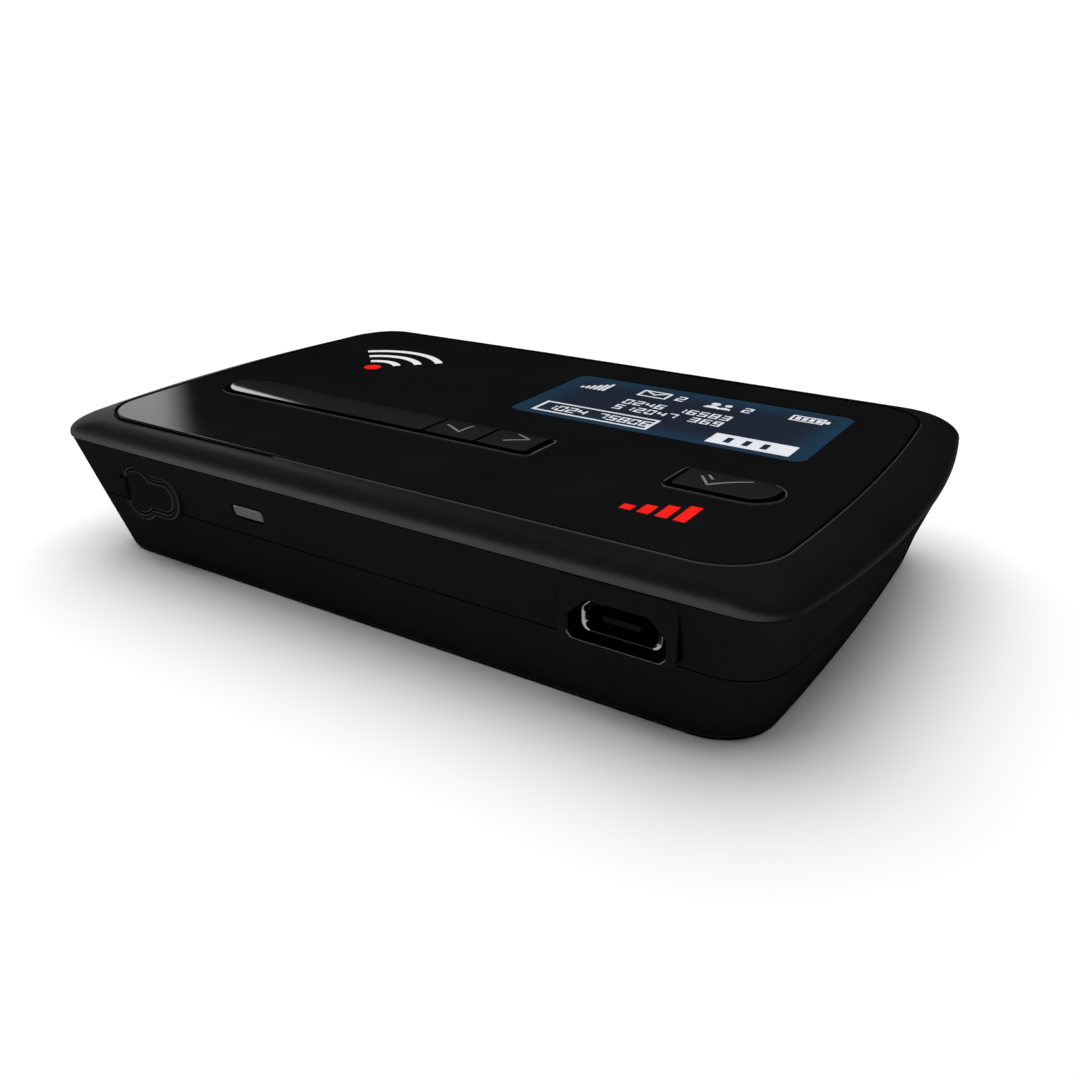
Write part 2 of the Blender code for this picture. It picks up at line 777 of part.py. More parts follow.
def build_board():
    outline = plan_points(skirt_plan(board_low, wall_thickness + board_edge_clearance))
    board = prism("main_board", outline, board_low, board_high, pieces, board_green)
    for corner, (x, y) in boss_places.items():
        cut(board, post("board_hole_" + corner, x, y, board_low - seat_gap, board_high + seat_gap,
                        boss_radius + seat_gap, cutters))


def build_shields():
    """Pressed shield cans under the board, open towards it, each over its chip."""
    gap = shield_spacing / 2
    shields = {
        "modem": ((-gap - modem_shield_length, gap), (-gap, gap + back_shield_width)),
        "wifi": ((gap, gap), (gap + wifi_shield_length, gap + back_shield_width)),
        "power": ((-power_shield_length / 2, -gap - power_shield_width), (power_shield_length / 2, -gap)),
    }
    low = under_board - shield_height
    for name, ((left, front), (right, back)) in shields.items():
        can = box(name + "_shield", (left, front, low), (right, back, under_board), pieces, plain_steel)
        cut(can, box(name + "_shield_space",
                     (left + shield_wall, front + shield_wall, low + shield_wall),
                     (right - shield_wall, back - shield_wall, under_board + seat_gap), cutters))
        box(name + "_chip", (left + chip_inset, front + chip_inset, under_board - chip_height),
            (right - chip_inset, back - chip_inset, under_board), pieces, key_black)


def build_usb():
    front = recess_floor - usb_flare_depth
    back = front + usb_shell_depth
    neck = front + usb_flare_depth
    loft("usb_shell", [
        upright(usb_shell_outline(usb_flare), front),
        upright(usb_shell_outline(0), neck),
        upright(usb_shell_outline(0), back),
        upright(usb_shell_outline(-usb_shell_wall), back),
        upright(usb_shell_outline(-usb_shell_wall), neck),
        upright(usb_shell_outline(usb_flare - usb_shell_wall), front),
    ], pieces, plain_steel, (usb_x, front, usb_middle), closed=True)
    half = usb_tongue_width / 2
    tongue = box("usb_tongue",
                 (usb_x - half, neck, usb_middle - usb_tongue_thickness / 2),
                 (usb_x + half, back, usb_middle + usb_tongue_thickness / 2), pieces, key_black)
    join(tongue, prism("usb_core", usb_shell_outline(-usb_shell_wall - seat_gap), back - usb_shell_depth / 4,
                       back, cutters, place=upright))


def build_aerial_cover():
    """The rubber cover on its hinge line, and the tether end that stays in the housing."""
    prism("aerial_cover", keyhole(0), cover_face, cover_back, pieces, rubber_black,
          (hinge_x, cover_face, aerial_height), upright)
    box("cover_anchor", (anchor_left, cover_face, aerial_height - anchor_half_height),
        (hinge_x - seat_gap, cover_back, aerial_height + anchor_half_height), pieces, rubber_black)


def build_aerial_socket():
    """A coaxial socket behind the cover, with a base up to the board and a centre pin."""
    mouth = pocket_floor + seat_gap
    x = aerial_x
    radius = aerial_socket_radius
    bore = aerial_socket_bore
    socket = turned("aerial_socket", [
        (0, -aerial_bore_depth), (bore, -aerial_bore_depth), (bore, 0), (radius, 0),
        (radius, -aerial_socket_length), (0, -aerial_socket_length),
    ], (x, mouth, aerial_height), pieces, gold_plate, forward=True)
    base_front = mouth + aerial_bore_depth + seat_gap
    join(socket, box("socket_base", (x - radius, base_front, partition_high + seat_gap),
                     (x + radius, base_front + aerial_base_depth, under_board), cutters))
    turned("aerial_pin", [
        (0, aerial_pin_length), (aerial_pin_radius, aerial_pin_length), (aerial_pin_radius, 0), (0, 0),
    ], (x, mouth + aerial_bore_depth - seat_gap, aerial_height), pieces, gold_plate, forward=True)


def build_status_light():
    box("status_light_pipe", (light_x - light_width / 2, light_face, light_low),
        (light_x + light_width / 2, light_back, light_high), pieces, clear_grey)
    box("status_led", (light_x - led_width / 2, light_back + seat_gap, under_board - led_height),
        (light_x + led_width / 2, light_back + seat_gap + led_depth, under_board), pieces, card_white)


def build_battery():
    outline = rounded_box(battery_left, battery_right, -battery_half_width, battery_half_width,
                          battery_corner_radius, battery_corner_radius, edge_steps)
    prism("battery_pack", outline, battery_low, battery_high, pieces, battery_wrap)
    block_low = partition_low - contact_drop
    box("battery_connector", (block_left, -contact_block_width / 2, block_low),
        (block_right, contact_block_width / 2, under_board), pieces, moulded_cream)
    for i in range(contact_count):
        y = (i - (contact_count - 1) / 2) * contact_pitch
        box("battery_contact_%d" % (i + 1),
            (block_left - seat_gap - contact_reach, y - contact_width / 2, block_low),
            (block_left - seat_gap, y + contact_width / 2, block_low + contact_height), pieces, gold_plate)


def build_sim():
    """A SIM socket on the board with the card in it, over an opening in the partition."""
    half = sim_length / 2
    border = sim_socket_border
    socket_low = under_board - sim_socket_height
    socket = box("sim_socket", (sim_left - border, -half - border, socket_low),
                 (sim_right + border, half + border, under_board), pieces, plain_steel)
    cut(socket, box("sim_slot", (sim_left - seat_gap, -half - seat_gap, socket_low + sim_socket_wall),
                    (sim_right + 2 * border, half + seat_gap, under_board - sim_socket_wall), cutters))
    card_low = socket_low + sim_socket_wall + seat_gap
    card_high = card_low + sim_thickness
    box("sim_card", (sim_left, -half, card_low), (sim_right, half, card_high), pieces, card_white)


def build_inner_aerials():
    """Flat stamped aerials with two feet, on the partition near the walls."""
    inner = skirt_plan(partition_high, wall_thickness + aerial_strip_from_wall)
    depth = aerial_strip_depth
    places = {
        "main_aerial": (inner.half_length - depth, -main_aerial_length / 2, depth, main_aerial_length),
        "diversity_aerial": (-diversity_aerial_start, inner.half_width - depth, diversity_aerial_length,
                             depth),
        "wifi_aerial": (-wifi_aerial_start, -inner.half_width, wifi_aerial_length, depth),
    }
    low = partition_high + seat_gap
    high = low + aerial_strip_thickness
    width = aerial_strip_width
    for name, (left, front, length, depth) in places.items():
        strip = box(name, (left, front, low), (left + length, front + depth, high), pieces, gold_plate)
        if length > depth:
            gap_low = (left + width, front - width, low - seat_gap)
            gap_high = (left + length / 2, front + depth - width, high + seat_gap)
        else:
            gap_low = (left + width, front + width, low - seat_gap)
            gap_high = (left + length + width, front + depth / 2, high + seat_gap)
        cut(strip, box(name + "_gap", gap_low, gap_high, cutters))


def build_screws():
    head_high = partition_low - seat_gap
    for corner, (x, y) in boss_places.items():
        tip = partition_thickness + seat_gap + screw_bite
        turned("case_screw_" + corner, [(0, tip), (screw_shank_radius, tip), (screw_shank_radius, 0),
                                        (screw_head_radius, 0), (screw_head_radius, -screw_head_height),
                                        (0, -screw_head_height)],
               (x, y, head_high), pieces, plain_steel)


build_lens()
build_bezel()
build_housing()
build_cover()
build_keys()
build_display()
build_board()
build_shields()
build_usb()
build_aerial_cover()
build_aerial_socket()
build_status_light()
build_battery()
build_sim()
build_inner_aerials()
build_screws()

# Round and tapered faces are shaded smooth, with their edges kept sharp
for piece in pieces.objects:
    piece.data.shade_smooth()
    piece.data.set_sharp_from_angle(angle=math.radians(35))
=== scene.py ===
"""Looks of the pocket mobile hotspot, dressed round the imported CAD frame. Metres, +Z up."""

import math
from collections import namedtuple

import bmesh
import bpy
from mathutils import Matrix, Vector


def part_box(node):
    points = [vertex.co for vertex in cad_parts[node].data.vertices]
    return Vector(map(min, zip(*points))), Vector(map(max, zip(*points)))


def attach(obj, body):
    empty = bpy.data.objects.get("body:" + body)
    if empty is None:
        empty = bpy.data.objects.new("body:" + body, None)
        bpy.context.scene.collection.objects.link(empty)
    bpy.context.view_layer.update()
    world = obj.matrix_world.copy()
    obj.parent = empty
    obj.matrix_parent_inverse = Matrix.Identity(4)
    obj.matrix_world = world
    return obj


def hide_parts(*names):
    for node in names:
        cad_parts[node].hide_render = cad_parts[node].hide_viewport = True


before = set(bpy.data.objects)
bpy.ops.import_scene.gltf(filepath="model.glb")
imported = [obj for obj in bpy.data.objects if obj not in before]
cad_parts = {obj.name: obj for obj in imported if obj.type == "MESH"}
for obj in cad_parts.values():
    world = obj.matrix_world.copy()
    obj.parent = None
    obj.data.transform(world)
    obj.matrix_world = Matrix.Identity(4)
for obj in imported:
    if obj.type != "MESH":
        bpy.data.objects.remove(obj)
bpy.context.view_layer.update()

# Heights and places read from the frame
lens_lo, lens_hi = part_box("lens_panel")
_, band_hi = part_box("top_bezel")
display_lo, display_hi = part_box("display_module")
flap_lo, flap_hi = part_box("aerial_cover")
anchor_lo, anchor_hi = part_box("cover_anchor")
shell_lo, shell_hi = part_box("usb_shell")
pipe_lo, pipe_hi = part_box("status_light_pipe")
battery_lo, battery_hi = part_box("battery_pack")
sim_lo, sim_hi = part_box("sim_socket")
contact_lo, contact_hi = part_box("battery_connector")
lens_top = lens_hi.z
lens_under = lens_lo.z

# Sizes that the solids have too
LENS_CORNER = 0.0065
LENS_BOW = 0.0016
CASE_CORNER = 0.0048
CASE_BOW = 0.0036
BASE_INSET_X = 0.0055
BASE_INSET_Y = 0.0034
BASE_CORNER = 0.0065
BASE_BOW = 0.0008
BAND_DEPTH = 0.00235
BAND_SHOULDER_END = 1.18
BAND_OVERHANG = 0.0001
BAND_UNDERCUT = 0.00025
RIM_DROP = 0.0001
LENS_GROOVE = 0.0003
WALL = 0.0018
FLOOR = 0.0014
LIP = 0.0010
LIP_DEPTH = 0.0012
SEAT = 0.0003
PARTITION = 0.0010
BAY_CLEARANCE = 0.0004
BAY_RIB = 0.0010
BAY_RIB_DEPTH = 0.0020
PARTING = 0.0079
PLATE = 0.0012

# Fine sizes of the shown surfaces
BASE_EDGE = 0.0006
SMALLEST_CORNER = 0.0009
BAND_SHOULDER_SIDE = 0.85
RIM_LIP_RISE = 0.00013
LIP_FLAT = 0.00006
LIP_LEAN = 0.00004
RIM_LIGHT_FROM = -0.012
RIM_DROP_LEFT = 0.00015
RIM_DROP_RUN = 0.026
PARTING_LINE = 0.00013
BAND_LINE = 0.00012
BAND_CHAMFER = 0.00004
LINE_SOFT = 0.00002
LENS_EDGE = 0.00022
SLOT_EDGE = 0.00010
SLOT_ROOM = 0.00060
SLOT_BACK_SHIFT = 0.00025
BAR_RIGHT_ROOM = 0.00020
OK_LEFT_SHIFT = 0.00040
OK_RIGHT_ROOM = 0.00030
SLOT_LIP_RISE = 0.00015
SLOT_LIP_ROOT = 0.00002
SLOT_LIP_SINK = 0.00001
KEY_SOFT = 0.00008
MARK_THICKNESS = 0.000012
MARK_ROOT = 0.00004
WAVE_WIDTH = 0.0011
LEAST_RADIUS = 0.0001
CUTTER_REACH = 0.002
MM = 0.001

# Mesh fineness
END_STEPS = 10
CORNER_STEPS = 14
SIDE_STEPS = 12
ARC_STEPS = 6
BAND_STEPS = 20
BASE_STEPS = 10
KEYHOLE_STEPS = 14
STROKE_STEPS = 8

Plan = namedtuple("Plan", "half_length half_width corner bow")

band_low = lens_top - BAND_DEPTH - BAND_UNDERCUT
band_plan = Plan(band_hi.x, band_hi.y, CASE_CORNER, CASE_BOW)
lens_plan = Plan(lens_hi.x, lens_hi.y, LENS_CORNER, LENS_BOW)
base_plan = Plan(band_hi.x - BASE_INSET_X, band_hi.y - BASE_INSET_Y, BASE_CORNER, BASE_BOW)


def grown(plan, amount):
    """The plan outline moved outwards by an amount, or inwards by a negative one."""
    corner = max(plan.corner + amount, SMALLEST_CORNER)
    return Plan(plan.half_length + amount, plan.half_width + amount, corner, plan.bow)


def mixed(first, second, share):
    """A plan outline part of the way from one to another."""
    return Plan(*(a + (b - a) * share for a, b in zip(first, second)))


def plan_points(plan):
    """Outline with straight long sides, ends bowed outwards on an arc, and round corners."""
    half_length, half_width, corner, bow = plan
    end_radius = (half_width ** 2 + bow ** 2) / (2 * bow)
    end_centre = half_length - end_radius
    corner_y = half_width - corner
    corner_x = end_centre + math.sqrt((end_radius - corner) ** 2 - corner_y ** 2)
    meet = math.atan2(corner_y, corner_x - end_centre)
    quarter = []
    for i in range(END_STEPS + 1):
        angle = meet * i / END_STEPS
        quarter.append((end_centre + end_radius * math.cos(angle), end_radius * math.sin(angle)))
    for i in range(1, CORNER_STEPS + 1):
        angle = meet + (math.pi / 2 - meet) * i / CORNER_STEPS
        quarter.append((corner_x + corner * math.cos(angle), corner_y + corner * math.sin(angle)))
    back_left = [(-x, y) for x, y in reversed(quarter)]
    front_left = [(-x, -y) for x, y in quarter[1:]]
    front_right = [(x, -y) for x, y in reversed(quarter[1:])]
    side = [corner_x * (1 - 2 * i / SIDE_STEPS) for i in range(1, SIDE_STEPS)]
    back_side = [(x, half_width) for x in side]
    front_side = [(-x, -half_width) for x in side]
    return quarter + back_side + back_left + front_left + front_side + front_right


skirt_top_plan = grown(band_plan, -BAND_OVERHANG)


def skirt_plan(height, inset=0.0):
    """The tapered skirt's outline at a height, or one a wall further in."""
    return grown(mixed(base_plan, skirt_top_plan, height / band_low), -inset)


def plan_ring(plan, height):
    return level(plan_points(plan), height)


def skirt_ring(height, inset=0.0):
    return plan_ring(skirt_plan(height, inset), height)


def skirt_front(height):
    return -skirt_plan(height).half_width


def rounded_box(left, right, low, high, radii, steps=ARC_STEPS):
    """Flat box outline with its own radius at each corner: right top, left top, left low, right low."""
    corners = [(right, high, -1, -1, 0), (left, high, 1, -1, 1), (left, low, 1, 1, 2), (right, low, -1, 1, 3)]
    points = []
    for (x, y, sx, sy, turn), radius in zip(corners, radii):
        for i in range(steps + 1):
            angle = math.pi / 2 * (turn + i / steps)
            points.append((x + sx * radius + radius * math.cos(angle),
                           y + sy * radius + radius * math.sin(angle)))
    return points


def round_outline(x, y, radius, count):
    """A circle as an outline."""
    turns = [math.tau * i / count for i in range(count)]
    return [(x + radius * math.cos(turn), y + radius * math.sin(turn)) for turn in turns]


def rounding(edge, first=1):
    """Steps round an edge: how far each has turned in from the side, and how far it is from the face."""
    for i in range(first, ARC_STEPS + 1):
        angle = math.pi / 2 * i / ARC_STEPS
        yield edge * (1 - math.cos(angle)), edge * (1 - math.sin(angle))


def level(outline, height):
    """A flat outline as a ring at a height."""
    return [(x, y, height) for x, y in outline]


def upright(outline, depth):
    """An outline drawn in X and Z as a ring at a place along Y."""
    return [(x, depth, z) for x, z in outline]


def make(name, mesh_edit):
    """Links a new object with the edited mesh."""
    bmesh.ops.recalc_face_normals(mesh_edit, faces=mesh_edit.faces)
    mesh = bpy.data.meshes.new(name)
    mesh_edit.to_mesh(mesh)
    mesh_edit.free()
    piece = bpy.data.objects.new(name, mesh)
    bpy.context.scene.collection.objects.link(piece)
    return piece


def loft(name, rings, closed=False):
    """A skin through rings of equally many points, capped at both ends or joined end to end."""
    mesh_edit = bmesh.new()
    loops = [[mesh_edit.verts.new(point) for point in ring] for ring in rings]
    pairs = list(zip(loops, loops[1:]))
    if closed:
        pairs.append((loops[-1], loops[0]))
    else:
        mesh_edit.faces.new(loops[0])
        mesh_edit.faces.new(loops[-1])
    for lower, upper in pairs:
        for i in range(len(lower)):
            j = (i + 1) % len(lower)
            mesh_edit.faces.new((lower[i], lower[j], upper[j], upper[i]))
    return make(name, mesh_edit)


def prism(name, outline, start, stop, place=level):
    """An outline extruded straight from one level to another."""
    return loft(name, [place(outline, start), place(outline, stop)])


def block(name, low, high):
    outline = [(high[0], high[1]), (low[0], high[1]), (low[0], low[1]), (high[0], low[1])]
    return prism(name, outline, low[2], high[2])


def shape(piece, joins=(), cuts=()):
    """Joins tools on to a piece, cuts others out of it, and keeps only the result."""
    for tools, operation in ((joins, "UNION"), (cuts, "DIFFERENCE")):
        for tool in tools:
            change = piece.modifiers.new(tool.name, "BOOLEAN")
            change.operation = operation
            change.solver = "EXACT"
            change.object = tool
    graph = bpy.context.evaluated_depsgraph_get()
    result = bpy.data.meshes.new_from_object(piece.evaluated_get(graph))
    old = piece.data
    piece.modifiers.clear()
    piece.data = result
    bpy.data.meshes.remove(old)
    for tool in list(joins) + list(cuts):
        bpy.data.objects.remove(tool)
    return piece


def smooth(piece, angle=32):
    """Smooth shading with crisp edges, and flat faces kept flat beside rounded ones."""
    piece.data.shade_smooth()
    piece.data.set_sharp_from_angle(angle=math.radians(angle))
    keep = piece.modifiers.new("flat faces", "WEIGHTED_NORMAL")
    keep.keep_sharp = True
    keep.weight = 80
    return piece


def dress(piece, material, body, slot, *nodes):
    """Gives a piece its surface and the body it rides on, and hides the solids it stands for; slot is not
    used.
    """
    piece.data.materials.clear()
    piece.data.materials.append(material)
    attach(piece, body)
    if nodes:
        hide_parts(*nodes)
    return piece


def shade_faces(piece, material, chosen):
    """Gives a further surface to the faces that a test on centre and normal picks."""
    piece.data.materials.append(material)
    last = len(piece.data.materials) - 1
    for face in piece.data.polygons:
        if chosen(face.center, face.normal):
            face.material_index = last


def node_material(name):
    """A new material, with its nodes, its link function and its shader."""
    material = bpy.data.materials.new(name)
    material.use_nodes = True
    tree = material.node_tree
    return material, tree.nodes, tree.links.new, tree.nodes["Principled BSDF"]


def noise(nodes, link, scale, detail=2):
    """Soft noise in a piece's own coordinates."""
    place = nodes.new("ShaderNodeTexCoord")
    clouds = nodes.new("ShaderNodeTexNoise")
    clouds.inputs["Scale"].default_value = scale
    clouds.inputs["Detail"].default_value = detail
    link(place.outputs["Object"], clouds.inputs["Vector"])
    return clouds.outputs["Fac"]


def two_tone(nodes, link, factor, colours, places=(0.0, 1.0)):
    """A ramp from one colour to another."""
    ramp = nodes.new("ShaderNodeValToRGB")
    for stop, colour, place in zip(ramp.color_ramp.elements, colours, places):
        stop.color = (*colour, 1)
        stop.position = place
    link(factor, ramp.inputs["Fac"])
    return ramp.outputs["Color"]


def ranged(nodes, link, value, source, target, interpolation="SMOOTHSTEP"):
    """A value carried from one range to another."""
    node = nodes.new("ShaderNodeMapRange")
    node.interpolation_type = interpolation
    for name, number in zip(("From Min", "From Max", "To Min", "To Max"), (*source, *target)):
        node.inputs[name].default_value = number
    link(value, node.inputs["Value"])
    return node.outputs["Result"]


def maths(nodes, link, operation, *values):
    """A sum on sockets and plain numbers."""
    node = nodes.new("ShaderNodeMath")
    node.operation = operation
    for socket, value in zip(node.inputs, values):
        if isinstance(value, float):
            socket.default_value = value
        else:
            link(value, socket)
    return node.outputs[0]


def own_axes(nodes, link):
    """A piece's own X, Y and Z."""
    place = nodes.new("ShaderNodeTexCoord")
    split = nodes.new("ShaderNodeSeparateXYZ")
    link(place.outputs["Object"], split.inputs["Vector"])
    return split.outputs


CLOUD_RANGE = (0.3, 0.7)


def surface(name, colour, roughness, metallic=0.0, grain=0.0, grain_size=0.0004, tone=0.10, smear=0.10,
            smear_size=0.012, **sockets):
    """A surface whose colour and gloss vary a little over it, with a fine moulded grain."""
    material, nodes, link, shader = node_material(name)
    clouds = noise(nodes, link, 1 / smear_size, detail=4)
    colours = [[c * factor for c in colour] for factor in (1 - tone, 1 + tone)]
    link(two_tone(nodes, link, clouds, colours, CLOUD_RANGE), shader.inputs["Base Color"])
    gloss = (roughness * (1 - smear), roughness * (1 + smear))
    link(ranged(nodes, link, clouds, CLOUD_RANGE, gloss, "LINEAR"), shader.inputs["Roughness"])
    if grain:
        bump = nodes.new("ShaderNodeBump")
        bump.inputs["Strength"].default_value = 1.0
        bump.inputs["Distance"].default_value = grain
        link(noise(nodes, link, 1 / grain_size, detail=3), bump.inputs["Height"])
        link(bump.outputs["Normal"], shader.inputs["Normal"])
    shader.inputs["Metallic"].default_value = metallic
    for socket, value in sockets.items():
        shader.inputs[socket.replace("_", " ")].default_value = value
    return material


MATTE = {"roughness": 0.60, "grain": 0.000006, "grain_size": 0.00030, "Specular_IOR_Level": 0.0}
METAL = {"metallic": 1.0, "smear": 0.3, "smear_size": 0.002}
gloss_black = surface("gloss_black", (0.0063, 0.0063, 0.0064), 0.07, tone=0.15, smear=0.25)
satin_black = surface("satin_black", (0.0066, 0.0066, 0.0068), 0.46, grain=0.000004, grain_size=0.00025,
                      Specular_IOR_Level=0.17)
matte_black = surface("matte_black", (0.0112, 0.0112, 0.0115), **MATTE)
# Painted light: a lighter black for the bottom cover's down-facing rounded edge, lifting the shade there.
painted_light_black = surface("painted_light_black", (0.024, 0.024, 0.0245), **MATTE)
key_black = surface("key_black", (0.0140, 0.0140, 0.0143), 0.06, tone=0.06)
# Painted highlight: a light grey for edges that catch light, on the slot lips' outer sides, the rim lip's
# right part and the port recess's lower edge.
painted_highlight_grey = surface("painted_highlight_grey", (0.14, 0.14, 0.142), 0.50, tone=0.05, Specular_IOR_Level=0.0)
# Painted highlight: a lighter rubber for the cover's rounded front edge and the boss rim beside it.
rubber_painted_highlight = surface("rubber_painted_highlight", (0.048, 0.048, 0.049), 0.55, tone=0.05, Specular_IOR_Level=0.0)
# Painted shade: a near-black for the key gaps and slot lips, the rim lip's left part, the pane's sides, the
# port recess and the port block's right side.
painted_shade_black = surface("painted_shade_black", (0.0010, 0.0010, 0.0011), 0.70, Specular_IOR_Level=0.0)
rubber_black = surface("rubber_black", (0.0104, 0.0104, 0.0106), 0.60, grain=0.000006, grain_size=0.00035,
                       Specular_IOR_Level=0.0)
dark_plastic = surface("dark_plastic", (0.006, 0.006, 0.006), 0.45)
# The port shell's steel in two copies: a darker one as painted shade over most of the shell, a lighter one as
# a painted glint at its two ends.
port_shaded_steel = surface("port_shaded_steel", (0.007, 0.007, 0.0072), 0.22, **METAL)
port_glint_steel = surface("port_glint_steel", (0.10, 0.10, 0.104), 0.16, **METAL)
steel = surface("steel", (0.60, 0.60, 0.61), 0.24, **METAL)
gold = surface("gold", (0.78, 0.56, 0.22), 0.26, metallic=1.0, smear_size=0.001)
window_grey = surface("window_grey", (0.125, 0.125, 0.129), 0.35, tone=0.06)
mark_grey = surface("mark_grey", (0.18, 0.18, 0.183), 0.40, tone=0.05)
mark_white = surface("mark_white", (0.80, 0.80, 0.80), 0.35, tone=0.03)
mark_red = surface("mark_red", (0.78, 0.011, 0.008), 0.35, tone=0.05, Specular_IOR_Level=0.05)
board_green = surface("board_green", (0.016, 0.075, 0.034), 0.42, tone=0.25, smear_size=0.003)
flex_amber = surface("flex_amber", (0.42, 0.19, 0.04), 0.36, tone=0.15, smear_size=0.002)
battery_wrap = surface("battery_wrap", (0.085, 0.085, 0.09), 0.42, grain=0.000004)
cream = surface("cream", (0.60, 0.58, 0.52), 0.48, tone=0.06)
card_white = surface("card_white", (0.74, 0.74, 0.73), 0.42, tone=0.04)


def glass(name):
    """Clear lens plastic over the display."""
    material, nodes, link, shader = node_material(name)
    tints = ((0.93, 0.94, 0.95), (0.97, 0.98, 0.98))
    link(two_tone(nodes, link, noise(nodes, link, 80), tints), shader.inputs["Base Color"])
    shader.inputs["Roughness"].default_value = 0.0
    shader.inputs["Transmission Weight"].default_value = 1.0
    shader.inputs["IOR"].default_value = 1.2
    return material


EDGE_GLOW = 0.0050


def lit_screen(name):
    """A lit display: dark navy in the middle, a brighter blue edge glow."""
    material, nodes, link, shader = node_material(name)
    axes = own_axes(nodes, link)
    margins = []
    for axis, low, high in (("X", window_left, window_right), ("Y", window_front, window_back)):
        from_middle = maths(nodes, link, "SUBTRACT", axes[axis], (low + high) / 2)
        distance = maths(nodes, link, "ABSOLUTE", from_middle)
        margins.append(maths(nodes, link, "SUBTRACT", (high - low) / 2, distance))
    nearest = maths(nodes, link, "MINIMUM", *margins)
    fade = ranged(nodes, link, nearest, (0.0, EDGE_GLOW), (0.0, 1.0))
    blues = ((0.018, 0.052, 0.094), (0.020, 0.027, 0.046))
    link(two_tone(nodes, link, fade, blues), shader.inputs["Emission Color"])
    shader.inputs["Emission Strength"].default_value = 1.0
    shader.inputs["Base Color"].default_value = (0.004, 0.005, 0.007, 1)
    shader.inputs["Specular IOR Level"].default_value = 0.0
    shader.inputs["Roughness"].default_value = 0.5
    return material


def lit_icons(name):
    """White lit picture elements."""
    material, nodes, link, shader = node_material(name)
    whites = ((0.78, 0.80, 0.86), (0.92, 0.93, 0.97))
    white = two_tone(nodes, link, noise(nodes, link, 400), whites)
    link(white, shader.inputs["Emission Color"])
    link(white, shader.inputs["Base Color"])
    shader.inputs["Emission Strength"].default_value = 1.15
    return material


# Lens: key slots with rounded edges, and the clear window over the display
DISPLAY_BORDER = 0.0012
WINDOW_CORNER = 0.0015
PANE_THICKNESS = 0.00010
PANE_GAP = 0.00001
SCREEN_DEPTH = 0.00014
SCREEN_GAP = 0.00002
screen_top = lens_top - SCREEN_DEPTH
window_left = display_lo.x + DISPLAY_BORDER
window_right = display_hi.x - DISPLAY_BORDER
window_front = display_lo.y + DISPLAY_BORDER
window_back = display_hi.y - DISPLAY_BORDER
KEY_GAP = 0.0004
KEY_FLANGE = 0.0007
KEY_CORNER = 0.0009
KEY_EDGE_PROUD = 0.00008
OK_LEFT_ROOM = 0.00055
RIGHT_KEY_ROOM = 0.00030
OK_KEY_REACH = 0.00025
KEY_CROWN = 0.00028
KEY_FLANGE_THICKNESS = 0.0006
KEY_MARK_WIDTH = 0.00027
key_boxes = {key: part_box(key + "_button") for key in ("power", "left", "right", "ok")}
slot_front = key_boxes["left"][0].y + KEY_FLANGE - KEY_GAP
slot_back = key_boxes["left"][1].y - KEY_FLANGE + KEY_GAP
slot_round = (slot_back - slot_front) / 2
hole_front = slot_front - SLOT_ROOM
hole_back = slot_back - SLOT_BACK_SHIFT
key_row = (slot_front + slot_back) / 2
bar_left = key_boxes["power"][0].x + KEY_FLANGE - KEY_GAP
bar_right = key_boxes["right"][1].x - KEY_FLANGE + KEY_GAP
ok_left = key_boxes["ok"][0].x + KEY_FLANGE - KEY_GAP
ok_right = key_boxes["ok"][1].x - KEY_FLANGE + KEY_GAP
SLOT_STEPS = 14


def slot_outline(left, right, round_left, grow):
    """A key slot: one end round, the other square with small corners, larger by an amount."""
    soft = (hole_back - hole_front) / 2 + grow
    hard = KEY_CORNER + grow
    radii = (hard, soft, soft, hard) if round_left else (soft, hard, hard, soft)
    return rounded_box(left - grow, right + grow, hole_front - grow, hole_back + grow, radii, SLOT_STEPS)


slots = {
    "bar": (bar_left, bar_right + BAR_RIGHT_ROOM, True),
    "ok": (ok_left + OK_LEFT_SHIFT, ok_right + OK_RIGHT_ROOM, False),
}


def slot_ring(slot, grow, height):
    return level(slot_outline(*slot, grow), height)


def flared_slot(name, slot):
    """A cutter that leaves a slot in the lens with a rounded upper edge."""
    rings = [slot_ring(slot, 0, lens_under - SEAT), slot_ring(slot, 0, lens_top - SLOT_EDGE)]
    rings += [slot_ring(slot, turn, lens_top - drop) for turn, drop in rounding(SLOT_EDGE)]
    rings.append(slot_ring(slot, SLOT_EDGE, lens_top + SEAT))
    return loft(name, rings)


def slot_lip(name, slot):
    """A fine lip round a key slot, its outer side leaning back; it runs out behind the keys. The lip is
    painted black as shade in the key gap, its outer side light grey as a painted highlight.
    """
    foot = lens_top - SLOT_LIP_ROOT
    flat = SLOT_EDGE + LIP_FLAT

    def crest(grow):
        ring = []
        for x, y in slot_outline(*slot, grow):
            behind = min(max((y - key_row) / (hole_back - key_row), 0.0), 1.0)
            ring.append((x, y, lens_top + SLOT_LIP_RISE * (1 - behind) - SLOT_LIP_SINK * behind))
        return ring

    rings = [slot_ring(slot, SLOT_EDGE, foot), crest(SLOT_EDGE), crest(flat),
             slot_ring(slot, flat + LIP_LEAN, foot)]
    lip = loft(name, rings, closed=True)
    # Painted shade: the whole lip black.
    dress(lip, painted_shade_black, "case", "lens")
    middle_x, middle_y = (slot[0] + slot[1]) / 2, (hole_front + hole_back) / 2

    def outer_side(at, n):
        outwards = n.x * (at.x - middle_x) + n.y * (at.y - middle_y)
        return outwards > 0 and n.z > 0.05

    # Painted highlight: the lip's outer side light grey.
    shade_faces(lip, painted_highlight_grey, outer_side)


def window_outline(grow):
    left, right = window_left - grow, window_right + grow
    return rounded_box(left, right, window_front - grow, window_back + grow, (WINDOW_CORNER + grow,) * 4)


